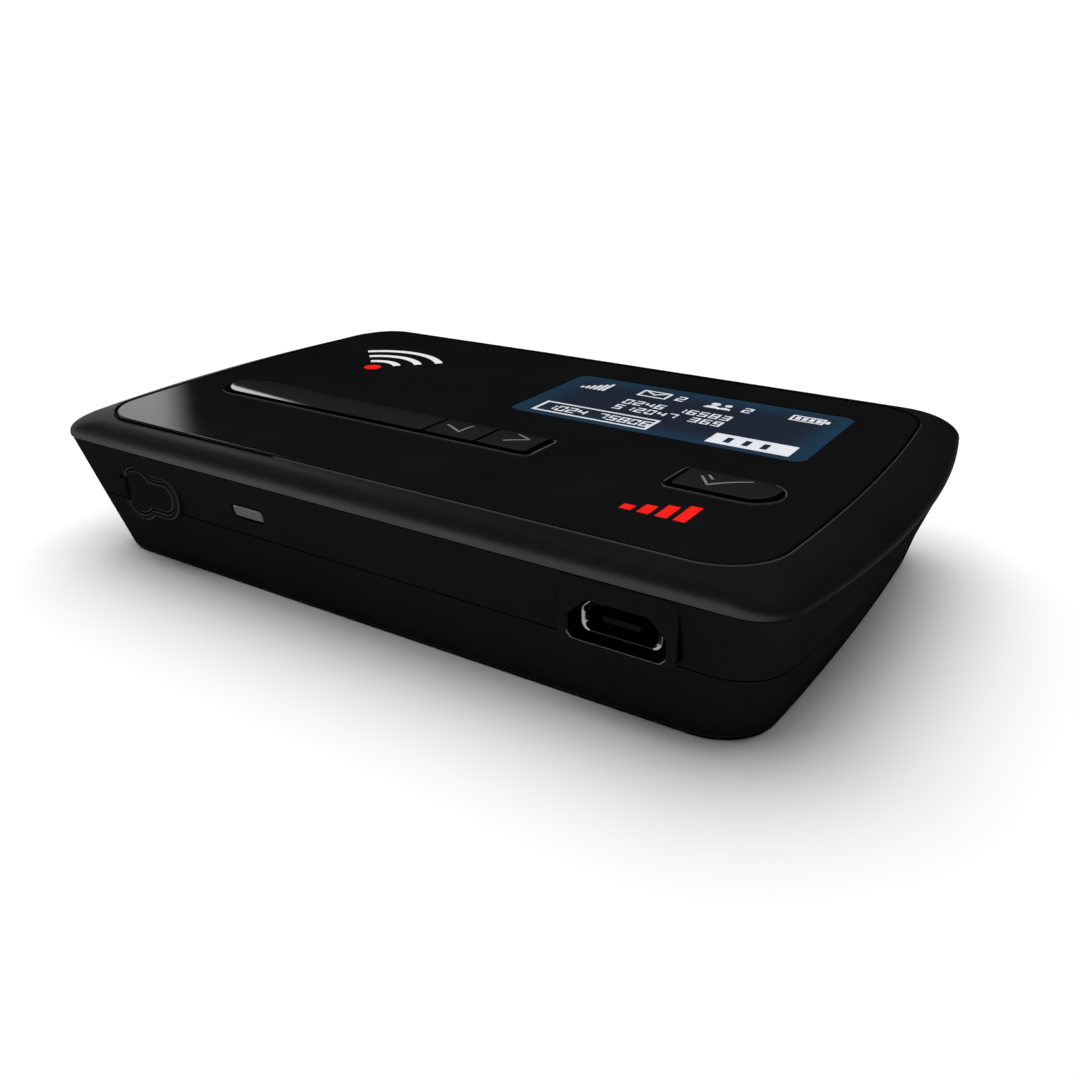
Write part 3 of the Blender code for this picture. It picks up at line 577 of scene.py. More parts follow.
def build_lens():
    """The lens with its slots and their lips, and the clear window over the lit screen."""
    rings = [plan_ring(lens_plan, lens_under), plan_ring(lens_plan, lens_top - LENS_EDGE)]
    rings += [plan_ring(grown(lens_plan, -turn), lens_top - drop) for turn, drop in rounding(LENS_EDGE)]
    lens = loft("lens_mask", rings)
    cuts = [flared_slot(name + "_slot", slot) for name, slot in slots.items()]
    cuts.append(prism("window_hole", window_outline(0), lens_under - SEAT, lens_top + SEAT))
    smooth(shape(lens, cuts=cuts))
    dress(lens, gloss_black, "case", "lens", "lens_panel")
    for name, slot in slots.items():
        slot_lip(name + "_slot_lip", slot)
    pane = prism("display_window", window_outline(-PANE_GAP), lens_top - PANE_THICKNESS, lens_top)
    dress(smooth(pane), glass("clear_window"), "case", "lens")
    # Painted shade: the pane's side faces black.
    shade_faces(pane, painted_shade_black, lambda at, n: abs(n.z) < 0.5)
    screen = prism("display_screen", window_outline(-SCREEN_GAP), lens_under, screen_top)
    dress(smooth(screen), lit_screen("lit_screen"), "case", "display")


def shoulder_powers(outline):
    """How full the band's shoulder is at each outline point: fuller along the sides than at the ends."""
    powers = []
    for i in range(len(outline)):
        ahead = Vector(outline[(i + 1) % len(outline)]) - Vector(outline[i - 1])
        along_side = (ahead.x / ahead.length) ** 2
        powers.append(BAND_SHOULDER_END + (BAND_SHOULDER_SIDE - BAND_SHOULDER_END) * along_side)
    return powers


def rim_drop(x):
    """How far the band's rim lies below the lens: a little further at the left end."""
    share = min(max((RIM_LIGHT_FROM - x) / RIM_DROP_RUN, 0.0), 1.0)
    return RIM_DROP + RIM_DROP_LEFT * share


def build_band():
    """The rounded band round the lens, with the plate and lip under it."""
    rim_plan = grown(lens_plan, LENS_GROOVE)
    widest = lens_top - BAND_DEPTH
    rim_high = lens_top - RIM_DROP
    plate_high = lens_under - SEAT
    lip_outer = WALL + SEAT
    lip_inner = lip_outer + LIP
    crest = rim_high + RIM_LIP_RISE
    rings = [plan_ring(rim_plan, plate_high), plan_ring(rim_plan, crest),
             plan_ring(grown(rim_plan, LIP_FLAT), crest)]
    rim_plan = grown(rim_plan, LIP_FLAT + LIP_LEAN)
    inner, outer = plan_points(rim_plan), plan_points(band_plan)
    powers = shoulder_powers(outer)
    for i in range(BAND_STEPS + 1):
        angle = math.pi / 2 * i / BAND_STEPS
        ring = []
        for (ax, ay), (bx, by), power in zip(inner, outer, powers):
            share = math.sin(angle) ** power
            drop = abs(math.cos(angle)) ** power
            rim = lens_top - rim_drop(ax)
            ring.append((ax + (bx - ax) * share, ay + (by - ay) * share, widest + (rim - widest) * drop))
        rings.append(ring)
    rings.append(plan_ring(band_plan, band_low + BAND_CHAMFER))
    rings.append(plan_ring(grown(band_plan, -BAND_CHAMFER), band_low))
    lip_low = band_low - LIP_DEPTH
    rings += [skirt_ring(band_low, lip_outer), skirt_ring(lip_low, lip_outer), skirt_ring(lip_low, lip_inner),
              plan_ring(skirt_plan(band_low, lip_inner), plate_high - PLATE)]
    band = loft("top_band", rings)
    plate_span = plate_high - PLATE - SEAT, plate_high + SEAT
    cuts = [prism(name + "_opening", slot_outline(*slot, KEY_FLANGE), *plate_span)
            for name, slot in slots.items()]
    cuts.append(prism("display_opening", window_outline(DISPLAY_BORDER + SEAT), *plate_span))
    smooth(shape(band, cuts=cuts))
    dress(band, satin_black, "case", "band", "top_bezel")
    deepest = lens_top - RIM_DROP - RIM_DROP_LEFT

    def lip_side(at, n):
        return at.z > deepest and 0.05 < n.z < 0.85

    # Painted highlight: the rim lip's side light grey right of RIM_LIGHT_FROM.
    shade_faces(band, painted_highlight_grey, lambda at, n: lip_side(at, n) and at.x > RIM_LIGHT_FROM)
    # Painted shade: the rim lip's side black left of it.
    shade_faces(band, painted_shade_black, lambda at, n: lip_side(at, n) and at.x <= RIM_LIGHT_FROM)


# Keyhole cover: disc and tongue
FLAP_DISC = 0.0027
FLAP_TONGUE = 0.00175
FLAP_REACH = 0.0062
FLAP_HINGE = 0.0017
FLAP_GAP = 0.0003
FLAP_EDGE = 0.00028
FLAP_HIGHLIGHT_DEPTH = 0.00012
POCKET_SHARE = 0.6
POCKET_EDGE = 0.00020
BOSS_RIM = 0.0009
BOSS_EDGE = 0.00025
BOSS_NOTCH_EDGE = 0.0001
BOSS_FLOOR = 0.0008
SOCKET_HOLE = 0.0017
SOCKET_HOLE_POINTS = 32
TETHER_GAP = 0.0003
TETHER_CORNER = 0.0004
TETHER_HINGE_CORNER = 0.0002
TETHER_EDGE = 0.0002
COLLAR_SHIFT = 0.0015
COLLAR_HALF_LENGTH = 0.0065
COLLAR_HALF_HEIGHT = 0.0042
COLLAR_DEPTH = 0.00016
flap_z = (flap_lo.z + flap_hi.z) / 2
flap_x = flap_lo.x + FLAP_HINGE
flap_face = flap_lo.y
pocket_floor = flap_hi.y + SEAT
boss_back = pocket_floor + BOSS_FLOOR


def keyhole(grow, steps=KEYHOLE_STEPS):
    """The aerial cover's outline: a disc with a round-ended tongue, cut straight at its hinge."""
    radius = FLAP_DISC + grow
    half = FLAP_TONGUE + grow
    tongue_end = flap_x + FLAP_REACH - FLAP_TONGUE
    neck = math.asin(half / radius)
    hinge = math.acos((FLAP_HINGE + grow) / radius)
    sweep = math.pi - hinge - neck
    points = []
    for i in range(steps + 1):
        angle = math.pi / 2 - math.pi * i / steps
        points.append((tongue_end + half * math.cos(angle), flap_z + half * math.sin(angle)))
    for start in (-neck, math.pi - hinge):
        for i in range(steps + 1):
            angle = start - sweep * i / steps
            points.append((flap_x + radius * math.cos(angle), flap_z + radius * math.sin(angle)))
    return points


def rounded_front(outline, front, back, edge):
    """Rings from back to front that end round an edge; outline takes how far the edge has turned."""
    rings = [upright(outline(0), back), upright(outline(0), front + edge)]
    return rings + [upright(outline(turn), front + drop) for turn, drop in rounding(edge)]


def soft_front(name, outline, front, back, edge):
    """A prism from front to back whose front edge is rounded; outline takes an inset."""
    return loft(name, rounded_front(outline, front, back, edge))


def flared_hole(name, outline, front, back, edge):
    """A cutter from front to back that leaves a rounded rim at the front; outline takes a growth."""
    mouth = upright(outline(edge), front - CUTTER_REACH)
    return loft(name, rounded_front(outline, front, back, edge) + [mouth])


# Port: raised block, chamfered recess and metal shell
PORT_BLOCK = 0.0122
PORT_BLOCK_CORNER = 0.0010
PORT_BLOCK_TOP_CORNER = 0.0004
PORT_BLOCK_TOP_DROP = 0.0001
PORT_BLOCK_EDGE = 0.00045
PORT_BLOCK_BELOW = 0.0023
PORT_RECESS_WIDTH = 0.0099
PORT_RECESS_HEIGHT = 0.0041
PORT_RECESS_CHAMFER = 0.0018
PORT_RECESS_FOOT = 0.0006
PORT_RECESS_ROUND = 0.0006
PORT_RECESS_EDGE = 0.00030
PORT_RECESS_DEPTH = 0.0014
RECESS_SHADE_SIDE = 0.0005
RECESS_SHADE_DEPTH = 0.00035
RECESS_SHADE_FROM = 0.0002
SHADE_SLACK = 0.0001
BLOCK_SIDE_SLACK = 0.0006
PORT_FLARE = 0.0003
PORT_FLARE_DEPTH = 0.0005
PORT_FLARE_KNEE = 0.0002
PORT_FLARE_KNEE_SHARE = 0.35
PORT_LIP_SHARE = 0.6
PORT_WALL = 0.0003
PORT_CHAMFER = 0.0008
PORT_ROUND = 0.0007
PORT_GLINT_END = 0.0009
PORT_SET_BACK = 0.0004
port_x = (shell_lo.x + shell_hi.x) / 2
port_z = (shell_lo.z + shell_hi.z) / 2
port_half = (shell_hi.x - shell_lo.x) / 2 - PORT_FLARE
port_half_height = (shell_hi.z - shell_lo.z) / 2 - PORT_FLARE
port_face = skirt_front(band_low)
recess_floor = port_face + PORT_RECESS_DEPTH
wall_top = band_low - BAND_LINE
wall_low = PARTING + PARTING_LINE / 2
tray_top = PARTING - PARTING_LINE / 2


def port_block_outline(inset):
    half = PORT_BLOCK / 2 - inset
    low = port_z - PORT_BLOCK_BELOW + inset
    radius = max(PORT_BLOCK_CORNER - inset, LEAST_RADIUS)
    radii = (PORT_BLOCK_TOP_CORNER, PORT_BLOCK_TOP_CORNER, radius, radius)
    return rounded_box(port_x - half, port_x + half, low, wall_top - PORT_BLOCK_TOP_DROP, radii)


def cut_corner_box(half, low, high, top, foot):
    """Box outline in X and Z about the port, with large top chamfers and small lower ones."""
    return [(port_x - half, low + foot), (port_x - half + foot, low), (port_x + half - foot, low),
            (port_x + half, low + foot), (port_x + half, high - top), (port_x + half - top, high),
            (port_x - half + top, high), (port_x - half, high - top)]


def rounded_polygon(points, radius, steps=4):
    """A polygon with each corner rounded."""
    result = []
    count = len(points)
    for i in range(count):
        corner = Vector(points[i])
        before = Vector(points[i - 1]) - corner
        after = Vector(points[(i + 1) % count]) - corner
        turn = before.angle(after)
        reach = min(radius / math.tan(turn / 2), before.length * 0.45, after.length * 0.45)
        first = corner + before.normalized() * reach
        last = corner + after.normalized() * reach
        for j in range(steps + 1):
            share = j / steps
            point = first * (1 - share) ** 2 + corner * 2 * share * (1 - share) + last * share ** 2
            result.append(tuple(point))
    return result


def port_outline(half, half_height, grow, top, foot, radius):
    """A cut-cornered outline about the port, larger by an amount, with its chamfers in step."""
    slack = grow * math.tan(math.pi / 8)
    low = port_z - half_height - grow
    high = port_z + half_height + grow
    return rounded_polygon(cut_corner_box(half + grow, low, high, top + slack, foot + slack), radius)


def recess_outline(grow):
    half, half_height = PORT_RECESS_WIDTH / 2, PORT_RECESS_HEIGHT / 2
    return port_outline(half, half_height, grow, PORT_RECESS_CHAMFER, PORT_RECESS_FOOT, PORT_RECESS_ROUND)


def shell_outline(grow):
    return port_outline(port_half, port_half_height, grow, PORT_CHAMFER, PORT_CHAMFER / 2, PORT_ROUND + grow)


# Light window
LIGHT_CORNER = 0.00030
LIGHT_LEFT_EXTRA = 0.0001
LIGHT_DROP = 0.00006
LIGHT_EDGE = 0.00010
LIGHT_GAP = 0.00024


def light_outline(grow):
    radius = LIGHT_CORNER + grow
    return rounded_box(pipe_lo.x - grow, pipe_hi.x + grow, pipe_lo.z - grow, pipe_hi.z + grow,
                       (radius, radius, radius + LIGHT_LEFT_EXTRA, radius))


def build_wall():
    """The tapered side wall with its partition, port block and cover boss."""
    lip_outer = WALL + SEAT
    lip_inner = lip_outer + LIP
    partition_low = battery_hi.z + SEAT
    partition_high = partition_low + PARTITION
    lip_low = PARTING - LIP_DEPTH
    soft = LINE_SOFT
    wall = loft("side_wall", [
        skirt_ring(partition_high, WALL), skirt_ring(wall_top, WALL), skirt_ring(wall_top, soft),
        skirt_ring(wall_top - soft), skirt_ring(wall_low + soft), skirt_ring(wall_low, soft),
        skirt_ring(wall_low, lip_outer), skirt_ring(lip_low, lip_outer), skirt_ring(lip_low, lip_inner),
        skirt_ring(partition_low, lip_inner)])
    block_back = skirt_front(port_z - PORT_BLOCK_BELOW) + SEAT
    joins = [
        soft_front("port_block", port_block_outline, port_face, block_back, PORT_BLOCK_EDGE),
        soft_front("cover_boss", lambda inset: keyhole(BOSS_RIM - inset), flap_face, boss_back, BOSS_EDGE),
    ]
    clear = BAY_CLEARANCE
    reach = clear + BAY_RIB
    rib_low = partition_low - BAY_RIB_DEPTH
    ribs = block("bay_ribs", (battery_lo.x - reach, battery_lo.y - reach, rib_low),
                 (battery_hi.x + reach, battery_hi.y + reach, partition_low + PARTITION / 2))
    space = block("bay_space", (battery_lo.x - clear, battery_lo.y - clear, rib_low - SEAT),
                  (battery_hi.x + clear, battery_hi.y + clear, partition_low))
    joins.append(shape(ribs, cuts=[space]))
    outside = port_face - WALL
    hole_back_end = recess_floor + 3 * WALL
    socket_outline = round_outline(flap_x, flap_z, SOCKET_HOLE, SOCKET_HOLE_POINTS)
    cuts = [
        flared_hole("port_recess", recess_outline, port_face, recess_floor, PORT_RECESS_EDGE),
        prism("port_hole", shell_outline(PORT_FLARE + SEAT), recess_floor - SEAT, hole_back_end, upright),
        flared_hole("cover_pocket", lambda grow: keyhole(FLAP_GAP * POCKET_SHARE + grow), flap_face,
                    pocket_floor, POCKET_EDGE),
        prism("socket_hole", socket_outline, pocket_floor - SEAT, boss_back + SEAT, upright),
        block("anchor_pocket", (anchor_lo.x - SEAT, outside, anchor_lo.z - SEAT),
              (anchor_hi.x + SEAT, pocket_floor, anchor_hi.z + SEAT)),
        prism("light_hole", light_outline(LIGHT_GAP), outside, pipe_lo.y + 2 * WALL, upright),
        block("sim_hole", (sim_lo.x, sim_lo.y, partition_low - SEAT),
              (sim_hi.x, sim_hi.y, partition_high + SEAT)),
        block("contact_hole", (contact_lo.x - 2 * SEAT, contact_lo.y - SEAT, rib_low - SEAT),
              (contact_hi.x + SEAT, contact_hi.y + SEAT, partition_high + SEAT)),
    ]
    smooth(shape(wall, joins, cuts))
    dress(wall, matte_black, "case", "shell", "middle_housing")

    def near_port(at, half_length):
        return abs(at.x - port_x) < half_length

    def collar_edge(at, n):
        beside = abs(at.x - flap_x - COLLAR_SHIFT) < COLLAR_HALF_LENGTH
        near = beside and abs(at.z - flap_z) < COLLAR_HALF_HEIGHT
        return near and at.y < flap_face + COLLAR_DEPTH and -0.97 < n.y < -0.2

    def recess_lower_edge(at, n):
        beside = near_port(at, PORT_RECESS_WIDTH / 2 + RECESS_SHADE_SIDE)
        near = beside and at.z < port_z - PORT_RECESS_HEIGHT / 4
        return near and at.y < port_face + RECESS_SHADE_DEPTH and -0.85 < n.y < -0.5 and n.z > 0.2

    def block_right_side(at, n):
        near = abs(at.x - port_x - PORT_BLOCK / 2) < BLOCK_SIDE_SLACK and at.z > port_z - PORT_BLOCK_BELOW
        return near and n.x > 0.9

    def recess_inside(at):
        beside = abs(at.z - port_z) < PORT_RECESS_HEIGHT / 2 + SHADE_SLACK
        near = near_port(at, PORT_RECESS_WIDTH / 2) and beside
        return near and port_face + RECESS_SHADE_FROM < at.y < recess_floor + SHADE_SLACK

    # Painted highlight: lighter rubber along the boss rim beside the cover.
    shade_faces(wall, rubber_painted_highlight, collar_edge)
    # Painted highlight: light grey along the recess's lower edge.
    shade_faces(wall, painted_highlight_grey, recess_lower_edge)
    # Painted shade: black on the port block's right side and inside the recess.
    shade_faces(wall, painted_shade_black, lambda at, n: block_right_side(at, n) or recess_inside(at))


def build_tray():
    """The bottom cover, with a rounded lower edge and a notch for the cover boss."""
    rings = []
    for i in range(BASE_STEPS + 1):
        angle = math.pi / 2 * i / BASE_STEPS
        rings.append(skirt_ring(BASE_EDGE * (1 - math.cos(angle)), BASE_EDGE * (1 - math.sin(angle))))
    soft = LINE_SOFT
    rings += [skirt_ring(tray_top - soft), skirt_ring(tray_top, soft), skirt_ring(tray_top, WALL),
              skirt_ring(FLOOR, WALL)]
    tray = loft("bottom_tray", rings)
    cuts = [flared_hole("boss_notch", lambda grow: keyhole(BOSS_RIM + PARTING_LINE + grow), flap_face,
                        boss_back + PARTING_LINE, BOSS_NOTCH_EDGE)]
    smooth(shape(tray, cuts=cuts))
    dress(tray, matte_black, "bottom_cover", "shell", "bottom_cover")
    # Painted light: a lighter black on the down-facing rounded lower edge, lifting its shade.
    shade_faces(tray, painted_light_black, lambda at, n: 0.00001 < at.z < BASE_EDGE and n.z > -0.97)


# Keys, crowned across their width
def crown(y):
    """Height of a key's top over its width."""
    reach = min(abs(y - key_row) / (slot_round - KEY_GAP), 1.0)
    return lens_top + KEY_EDGE_PROUD + (KEY_CROWN - MARK_THICKNESS) * (1 - reach ** 2)


CROWN_INSETS = (0.5, 0.8, 1.1, 1.4, 1.7, 2.0, 2.3, 2.5)


def build_key(key, round_left=False, round_right=False, open_left=False, open_right=False):
    """A crowned key; its flange reaches under the lens at an open end and stays short beside another key."""
    lo, hi = key_boxes[key]
    out_left = KEY_FLANGE if open_left else -KEY_FLANGE / 4
    out_right = KEY_FLANGE if open_right else -KEY_FLANGE / 4
    left = lo.x + max(out_left, 0) + (OK_LEFT_ROOM if key == "ok" else 0)
    right = hi.x - max(out_right, 0) + {"right": -RIGHT_KEY_ROOM, "ok": OK_KEY_REACH}.get(key, 0)
    half = slot_round - KEY_GAP

    def outline(inset, flange=False):
        grow_left = out_left if flange else 0.0
        grow_right = out_right if flange else 0.0
        sides = KEY_FLANGE if flange else 0.0
        soft = max(half - inset, LEAST_RADIUS)
        hard = max(KEY_CORNER / 2 - inset, LEAST_RADIUS / 2)
        first = (soft + max(grow_left, 0)) if round_left else hard
        last = (soft + max(grow_right, 0)) if round_right else hard
        low = key_row - half + inset - sides
        high = key_row + half - inset + sides
        return rounded_box(left + inset - grow_left, right - inset + grow_right, low, high,
                           (last, first, first, last), SLOT_STEPS)

    flange_top = lens_under - SEAT
    rings = [level(outline(0, True), flange_top - KEY_FLANGE_THICKNESS), level(outline(0, True), flange_top),
             level(outline(0), flange_top)]
    for turn, drop in rounding(KEY_SOFT, first=0):
        rings.append([(x, y, crown(y) - drop) for x, y in outline(turn)])
    for inset in CROWN_INSETS:
        rings.append([(x, y, crown(y)) for x, y in outline(inset * MM)])
    cap = smooth(loft(key + "_key", rings))
    dress(cap, key_black, key + "_button", "keys", key + "_button")
    # Painted shade: the key's sides and the lower part of its edge rounding black.
    shade_faces(cap, painted_shade_black, lambda at, n: n.z < 0.75)


def stroke(name, paths, width, height_at):
    """Raised printed strokes along paths, with square ends, laid on a surface."""
    mesh_edit = bmesh.new()
    half = width / 2
    for path in paths:
        points = []
        for (ax, ay), (bx, by) in zip(path, path[1:]):
            for i in range(STROKE_STEPS):
                x = ax + (bx - ax) * i / STROKE_STEPS
                y = ay + (by - ay) * i / STROKE_STEPS
                points.append(Vector((x, y)))
        points.append(Vector(path[-1]))
        sections = []
        for i, point in enumerate(points):
            ahead = points[min(i + 1, len(points) - 1)] - points[max(i - 1, 0)]
            across = Vector((-ahead.y, ahead.x)).normalized() * half
            section = []
            for side, lift in ((1, -MARK_ROOT), (-1, -MARK_ROOT), (-1, MARK_THICKNESS), (1, MARK_THICKNESS)):
                x, y = point + across * side
                section.append(mesh_edit.verts.new((x, y, height_at(x, y) + lift)))
            sections.append(section)
        for near, far in zip(sections, sections[1:]):
            for i in range(len(near)):
                mesh_edit.faces.new((near[i], near[i - 1], far[i - 1], far[i]))
        mesh_edit.faces.new(sections[0])
        mesh_edit.faces.new(sections[-1])
    return make(name, mesh_edit)


def build_keys():
    """The four keys and their printed marks, drawn in millimetres."""
    build_key("power", round_left=True, open_left=True)
    build_key("left")
    build_key("right", open_right=True)
    build_key("ok", round_right=True, open_left=True, open_right=True)
    marks = {
        "left": [[(-2.67, -8.98), (-0.05, -10.35), (0.2, -7.8)]],
        "right": [[(6.0, -10.2), (8.5, -8.6), (6.2, -7.3)]],
        "ok": [[(29.6, -8.8), (31.0, -10.6), (34.7, -7.5)], [(30.1, -8.1), (31.0, -9.2)]],
    }
    for key, paths in marks.items():
        scaled = [[(x * MM, y * MM) for x, y in path] for path in paths]
        mark = stroke(key + "_mark", scaled, KEY_MARK_WIDTH, lambda x, y: crown(y))
        dress(mark, mark_grey, key + "_button", "keys")


def build_flap():
    """The rubber cover and its tether."""
    flap = soft_front("cover_flap", lambda inset: keyhole(-inset), flap_lo.y, flap_hi.y, FLAP_EDGE)
    dress(smooth(flap), rubber_black, "aerial_cover", "rubber", "aerial_cover")
    # Painted highlight: lighter rubber on the cover's rounded front edge.
    shade_faces(flap, rubber_painted_highlight, lambda at, n: at.y < flap_lo.y + FLAP_HIGHLIGHT_DEPTH and n.y > -0.97)
    half = (anchor_hi.z - anchor_lo.z) / 2
    middle = (anchor_hi.z + anchor_lo.z) / 2

    def tab(inset):
        radius = max(TETHER_CORNER - inset, LEAST_RADIUS)
        left, right = anchor_lo.x + inset, anchor_hi.x - TETHER_GAP - inset
        return rounded_box(left, right, middle - half + inset, middle + half - inset,
                           (TETHER_HINGE_CORNER, radius, radius, TETHER_HINGE_CORNER))

    anchor = soft_front("flap_tether", tab, anchor_lo.y, anchor_hi.y, TETHER_EDGE)
    dress(smooth(anchor), rubber_black, "case", "rubber", "cover_anchor")


def build_port():
    """The port's flared metal shell: darker steel as painted shade over most of it, lighter steel as a
    painted glint at its two ends.
    """
    front, back = shell_lo.y + PORT_SET_BACK, shell_hi.y
    knee, neck = front + PORT_FLARE_KNEE, front + PORT_FLARE_DEPTH
    knee_flare = PORT_FLARE * PORT_FLARE_KNEE_SHARE
    lip = PORT_FLARE - PORT_WALL * PORT_LIP_SHARE
    profile = [(PORT_FLARE, front), (knee_flare, knee), (0, neck), (0, back),
               (-PORT_WALL, back), (-PORT_WALL, neck), (knee_flare - PORT_WALL, knee), (lip, front)]
    rings = [upright(shell_outline(grow), depth) for grow, depth in profile]
    shell = loft("port_shell", rings, closed=True)
    # Painted shade: the shell in the darker steel.
    dress(smooth(shell, 50), port_shaded_steel, "case", "steel", "usb_shell")
    # Painted glint: the lighter steel on the shell's two ends.
    shade_faces(shell, port_glint_steel, lambda at, n: abs(at.x - port_x) > port_half - PORT_GLINT_END)


def build_light():
    """The light window, just below the sloping wall's surface."""
    def ring(inset, drop):
        return [(x, skirt_front(z) + drop, z) for x, z in light_outline(-inset)]

    rings = [upright(light_outline(0), pipe_hi.y), ring(0, LIGHT_DROP + LIGHT_EDGE)]
    rings += [ring(turn, LIGHT_DROP + drop) for turn, drop in rounding(LIGHT_EDGE)]
    window = smooth(loft("light_window", rings))
    dress(window, window_grey, "case", "light_pipe", "status_light_pipe")


# Lit picture on the display
def flat_piece(mesh_edit, outline, low, high):
    """Adds a flat raised outline to a mesh."""
    under = [mesh_edit.verts.new((x, y, low)) for x, y in outline]
    over = [mesh_edit.verts.new((x, y, high)) for x, y in outline]
    mesh_edit.faces.new(over)
    mesh_edit.faces.new(list(reversed(under)))
    count = len(outline)
    for i in range(count):
        j = (i + 1) % count
        mesh_edit.faces.new((under[i], under[j], over[j], over[i]))


# Plain numbers from seven strokes, each a left, front, right and back in millimetres
SEGMENTS = {
    "a": (0, 1.7, 1.2, 2.0), "b": (0.9, 1.15, 1.2, 1.7), "c": (0.9, 0.3, 1.2, 0.85), "d": (0, 0, 1.2, 0.3),
    "e": (0, 0.3, 0.3, 0.85), "f": (0, 1.15, 0.3, 1.7), "g": (0, 0.85, 1.2, 1.15),
}
DIGITS = {
    "0": "abcdef", "1": "bc", "2": "abged", "3": "abgcd", "4": "fgbc", "5": "afgcd", "6": "afgedc",
    "7": "abc", "8": "abcdefg", "9": "abcdfg",
}
ICON_LIFT = 0.000006


def build_picture():
    """Generic lit symbols, drawn in millimetres: signal, post, people, battery, numbers and keys."""
    low, high = screen_top + ICON_LIFT, screen_top + 2 * ICON_LIFT
    picture = bmesh.new()

    def filled(points):
        flat_piece(picture, [(x * MM, y * MM) for x, y in points], low, high)

    def box(left, front, right, back):
        filled([(left, front), (right, front), (right, back), (left, back)])

    def outlined(left, front, right, back, width):
        box(left, front, right, front + width)
        box(left, back - width, right, back)
        box(left, front + width, left + width, back - width)
        box(right - width, front + width, right, back - width)

    def numbers(left, front, text, scale=1.0, pitch=1.75):
        for i, digit in enumerate(text):
            start = left + i * pitch * scale
            for x0, y0, x1, y1 in (SEGMENTS[name] for name in DIGITS.get(digit, "")):
                box(start + x0 * scale, front + y0 * scale, start + x1 * scale, front + y1 * scale)

    for i in range(6):
        left = 1.3 + i * 0.62
        box(left, 14.5, left + 0.42, 15.2 + i * 0.55)
    outlined(9.3, 15.2, 13.4, 17.9, 0.35)
    filled([(10.2, 17.5), (11.35, 16.65), (12.5, 17.5), (13.0, 17.5), (11.35, 16.2), (9.7, 17.5)])
    numbers(14.5, 15.5, "2")
    for x, size in ((19.8, 1.0), (21.5, 0.8)):
        filled(round_outline(x, 16.8, 0.62 * size, 16))
        filled([(x + 1.05 * size * math.cos(a), 15.05 + 1.0 * size * math.sin(a))
                for a in [math.pi * i / 12 for i in range(13)]])
    numbers(23.6, 15.3, "2")
    outlined(29.6, 15.6, 33.8, 17.8, 0.3)
    box(33.9, 16.2, 34.4, 17.2)
    for i in range(4):
        left = 30.2 + i * 0.86
        box(left, 16.1, left + 0.6, 17.3)
    numbers(9.4, 11.0, "0246 16583", 0.95, 1.55)
    numbers(9.4, 8.4, "512047 369", 0.95, 1.55)
    outlined(1.2, 2.8, 17.1, 6.9, 0.4)
    numbers(2.4, 3.8, "1024 75806", 1.0, 1.45)
    box(24.6, 2.7, 34.5, 3.5)
    box(24.6, 5.4, 34.5, 6.3)
    for left, right in ((24.6, 26.4), (27.2, 28.6), (29.4, 30.8), (31.6, 34.5)):
        box(left, 3.5, right, 5.4)
    icons = make("display_icons", picture)
    dress(icons, lit_icons("lit_icons"), "case", "display")


# Generic printed marks on the lens, in millimetres
WAVE_CENTRE = (-28.5, 7.4)
WAVE_RADII = (3.4, 6.4, 9.4)
WAVE_STEPS = 14
DOT_RADIUS = 1.2
DOT_POINTS = 24
SIGNAL_LEFT = 26.2
SIGNAL_PITCH = 1.9
SIGNAL_WIDTH = 1.25
SIGNAL_FRONT = -20.2
SIGNAL_FIRST_BACK = -18.9
SIGNAL_STEP = 0.95


def printed(name, outlines, material):
    """Flat marks on the lens, from outlines in millimetres."""
    mesh_edit = bmesh.new()
    for outline in outlines:
        scaled = [(x * MM, y * MM) for x, y in outline]
        flat_piece(mesh_edit, scaled, lens_top - MARK_ROOT, lens_top + MARK_THICKNESS)
    dress(make(name, mesh_edit), material, "case", "lens")


def build_marks():
    """Three waves over a dot at the left, and four rising steps at the right."""
    middle_x, middle_y = WAVE_CENTRE
    angles = [math.radians(45 + 90 * i / WAVE_STEPS) for i in range(WAVE_STEPS + 1)]
    arcs = [[((middle_x + radius * math.cos(a)) * MM, (middle_y + radius * math.sin(a)) * MM) for a in angles]
            for radius in WAVE_RADII]
    waves = stroke("wave_mark", arcs, WAVE_WIDTH, lambda x, y: lens_top)
    dress(waves, mark_white, "case", "lens")
    printed("wave_dot", [round_outline(middle_x, middle_y, DOT_RADIUS, DOT_POINTS)], mark_red)
    steps = []
    for i in range(4):
        left = SIGNAL_LEFT + i * SIGNAL_PITCH
        right, back = left + SIGNAL_WIDTH, SIGNAL_FIRST_BACK + i * SIGNAL_STEP
        steps.append([(left, SIGNAL_FRONT), (right, SIGNAL_FRONT), (right, back), (left, back)])
    printed("signal_mark", steps, mark_red)


def dress_inner_nodes():
    """Surfaces for the solids that stay as they are, inside the case."""
    finishes = {
        "main_board": board_green, "display_flex": flex_amber, "battery_pack": battery_wrap,
        "display_connector": cream, "battery_connector": cream, "sim_card": card_white,
        "status_led": card_white, "display_module": dark_plastic,
        "usb_tongue": matte_black, "aerial_socket": gold, "aerial_pin": gold,
    }
    for name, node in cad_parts.items():
        if name in finishes:
            material = finishes[name]
        elif name.endswith("_plunger"):
            material = cream
        elif name.endswith("_chip"):
            material = dark_plastic
        elif name.startswith("battery_contact") or name.endswith("_aerial"):
            material = gold
        else:
            material = steel
        node.data.materials.clear()
        node.data.materials.append(material)


dress_inner_nodes()
build_lens()
build_band()
build_wall()
build_tray()
build_keys()
build_flap()
build_port()
build_light()
build_picture()
build_marks()


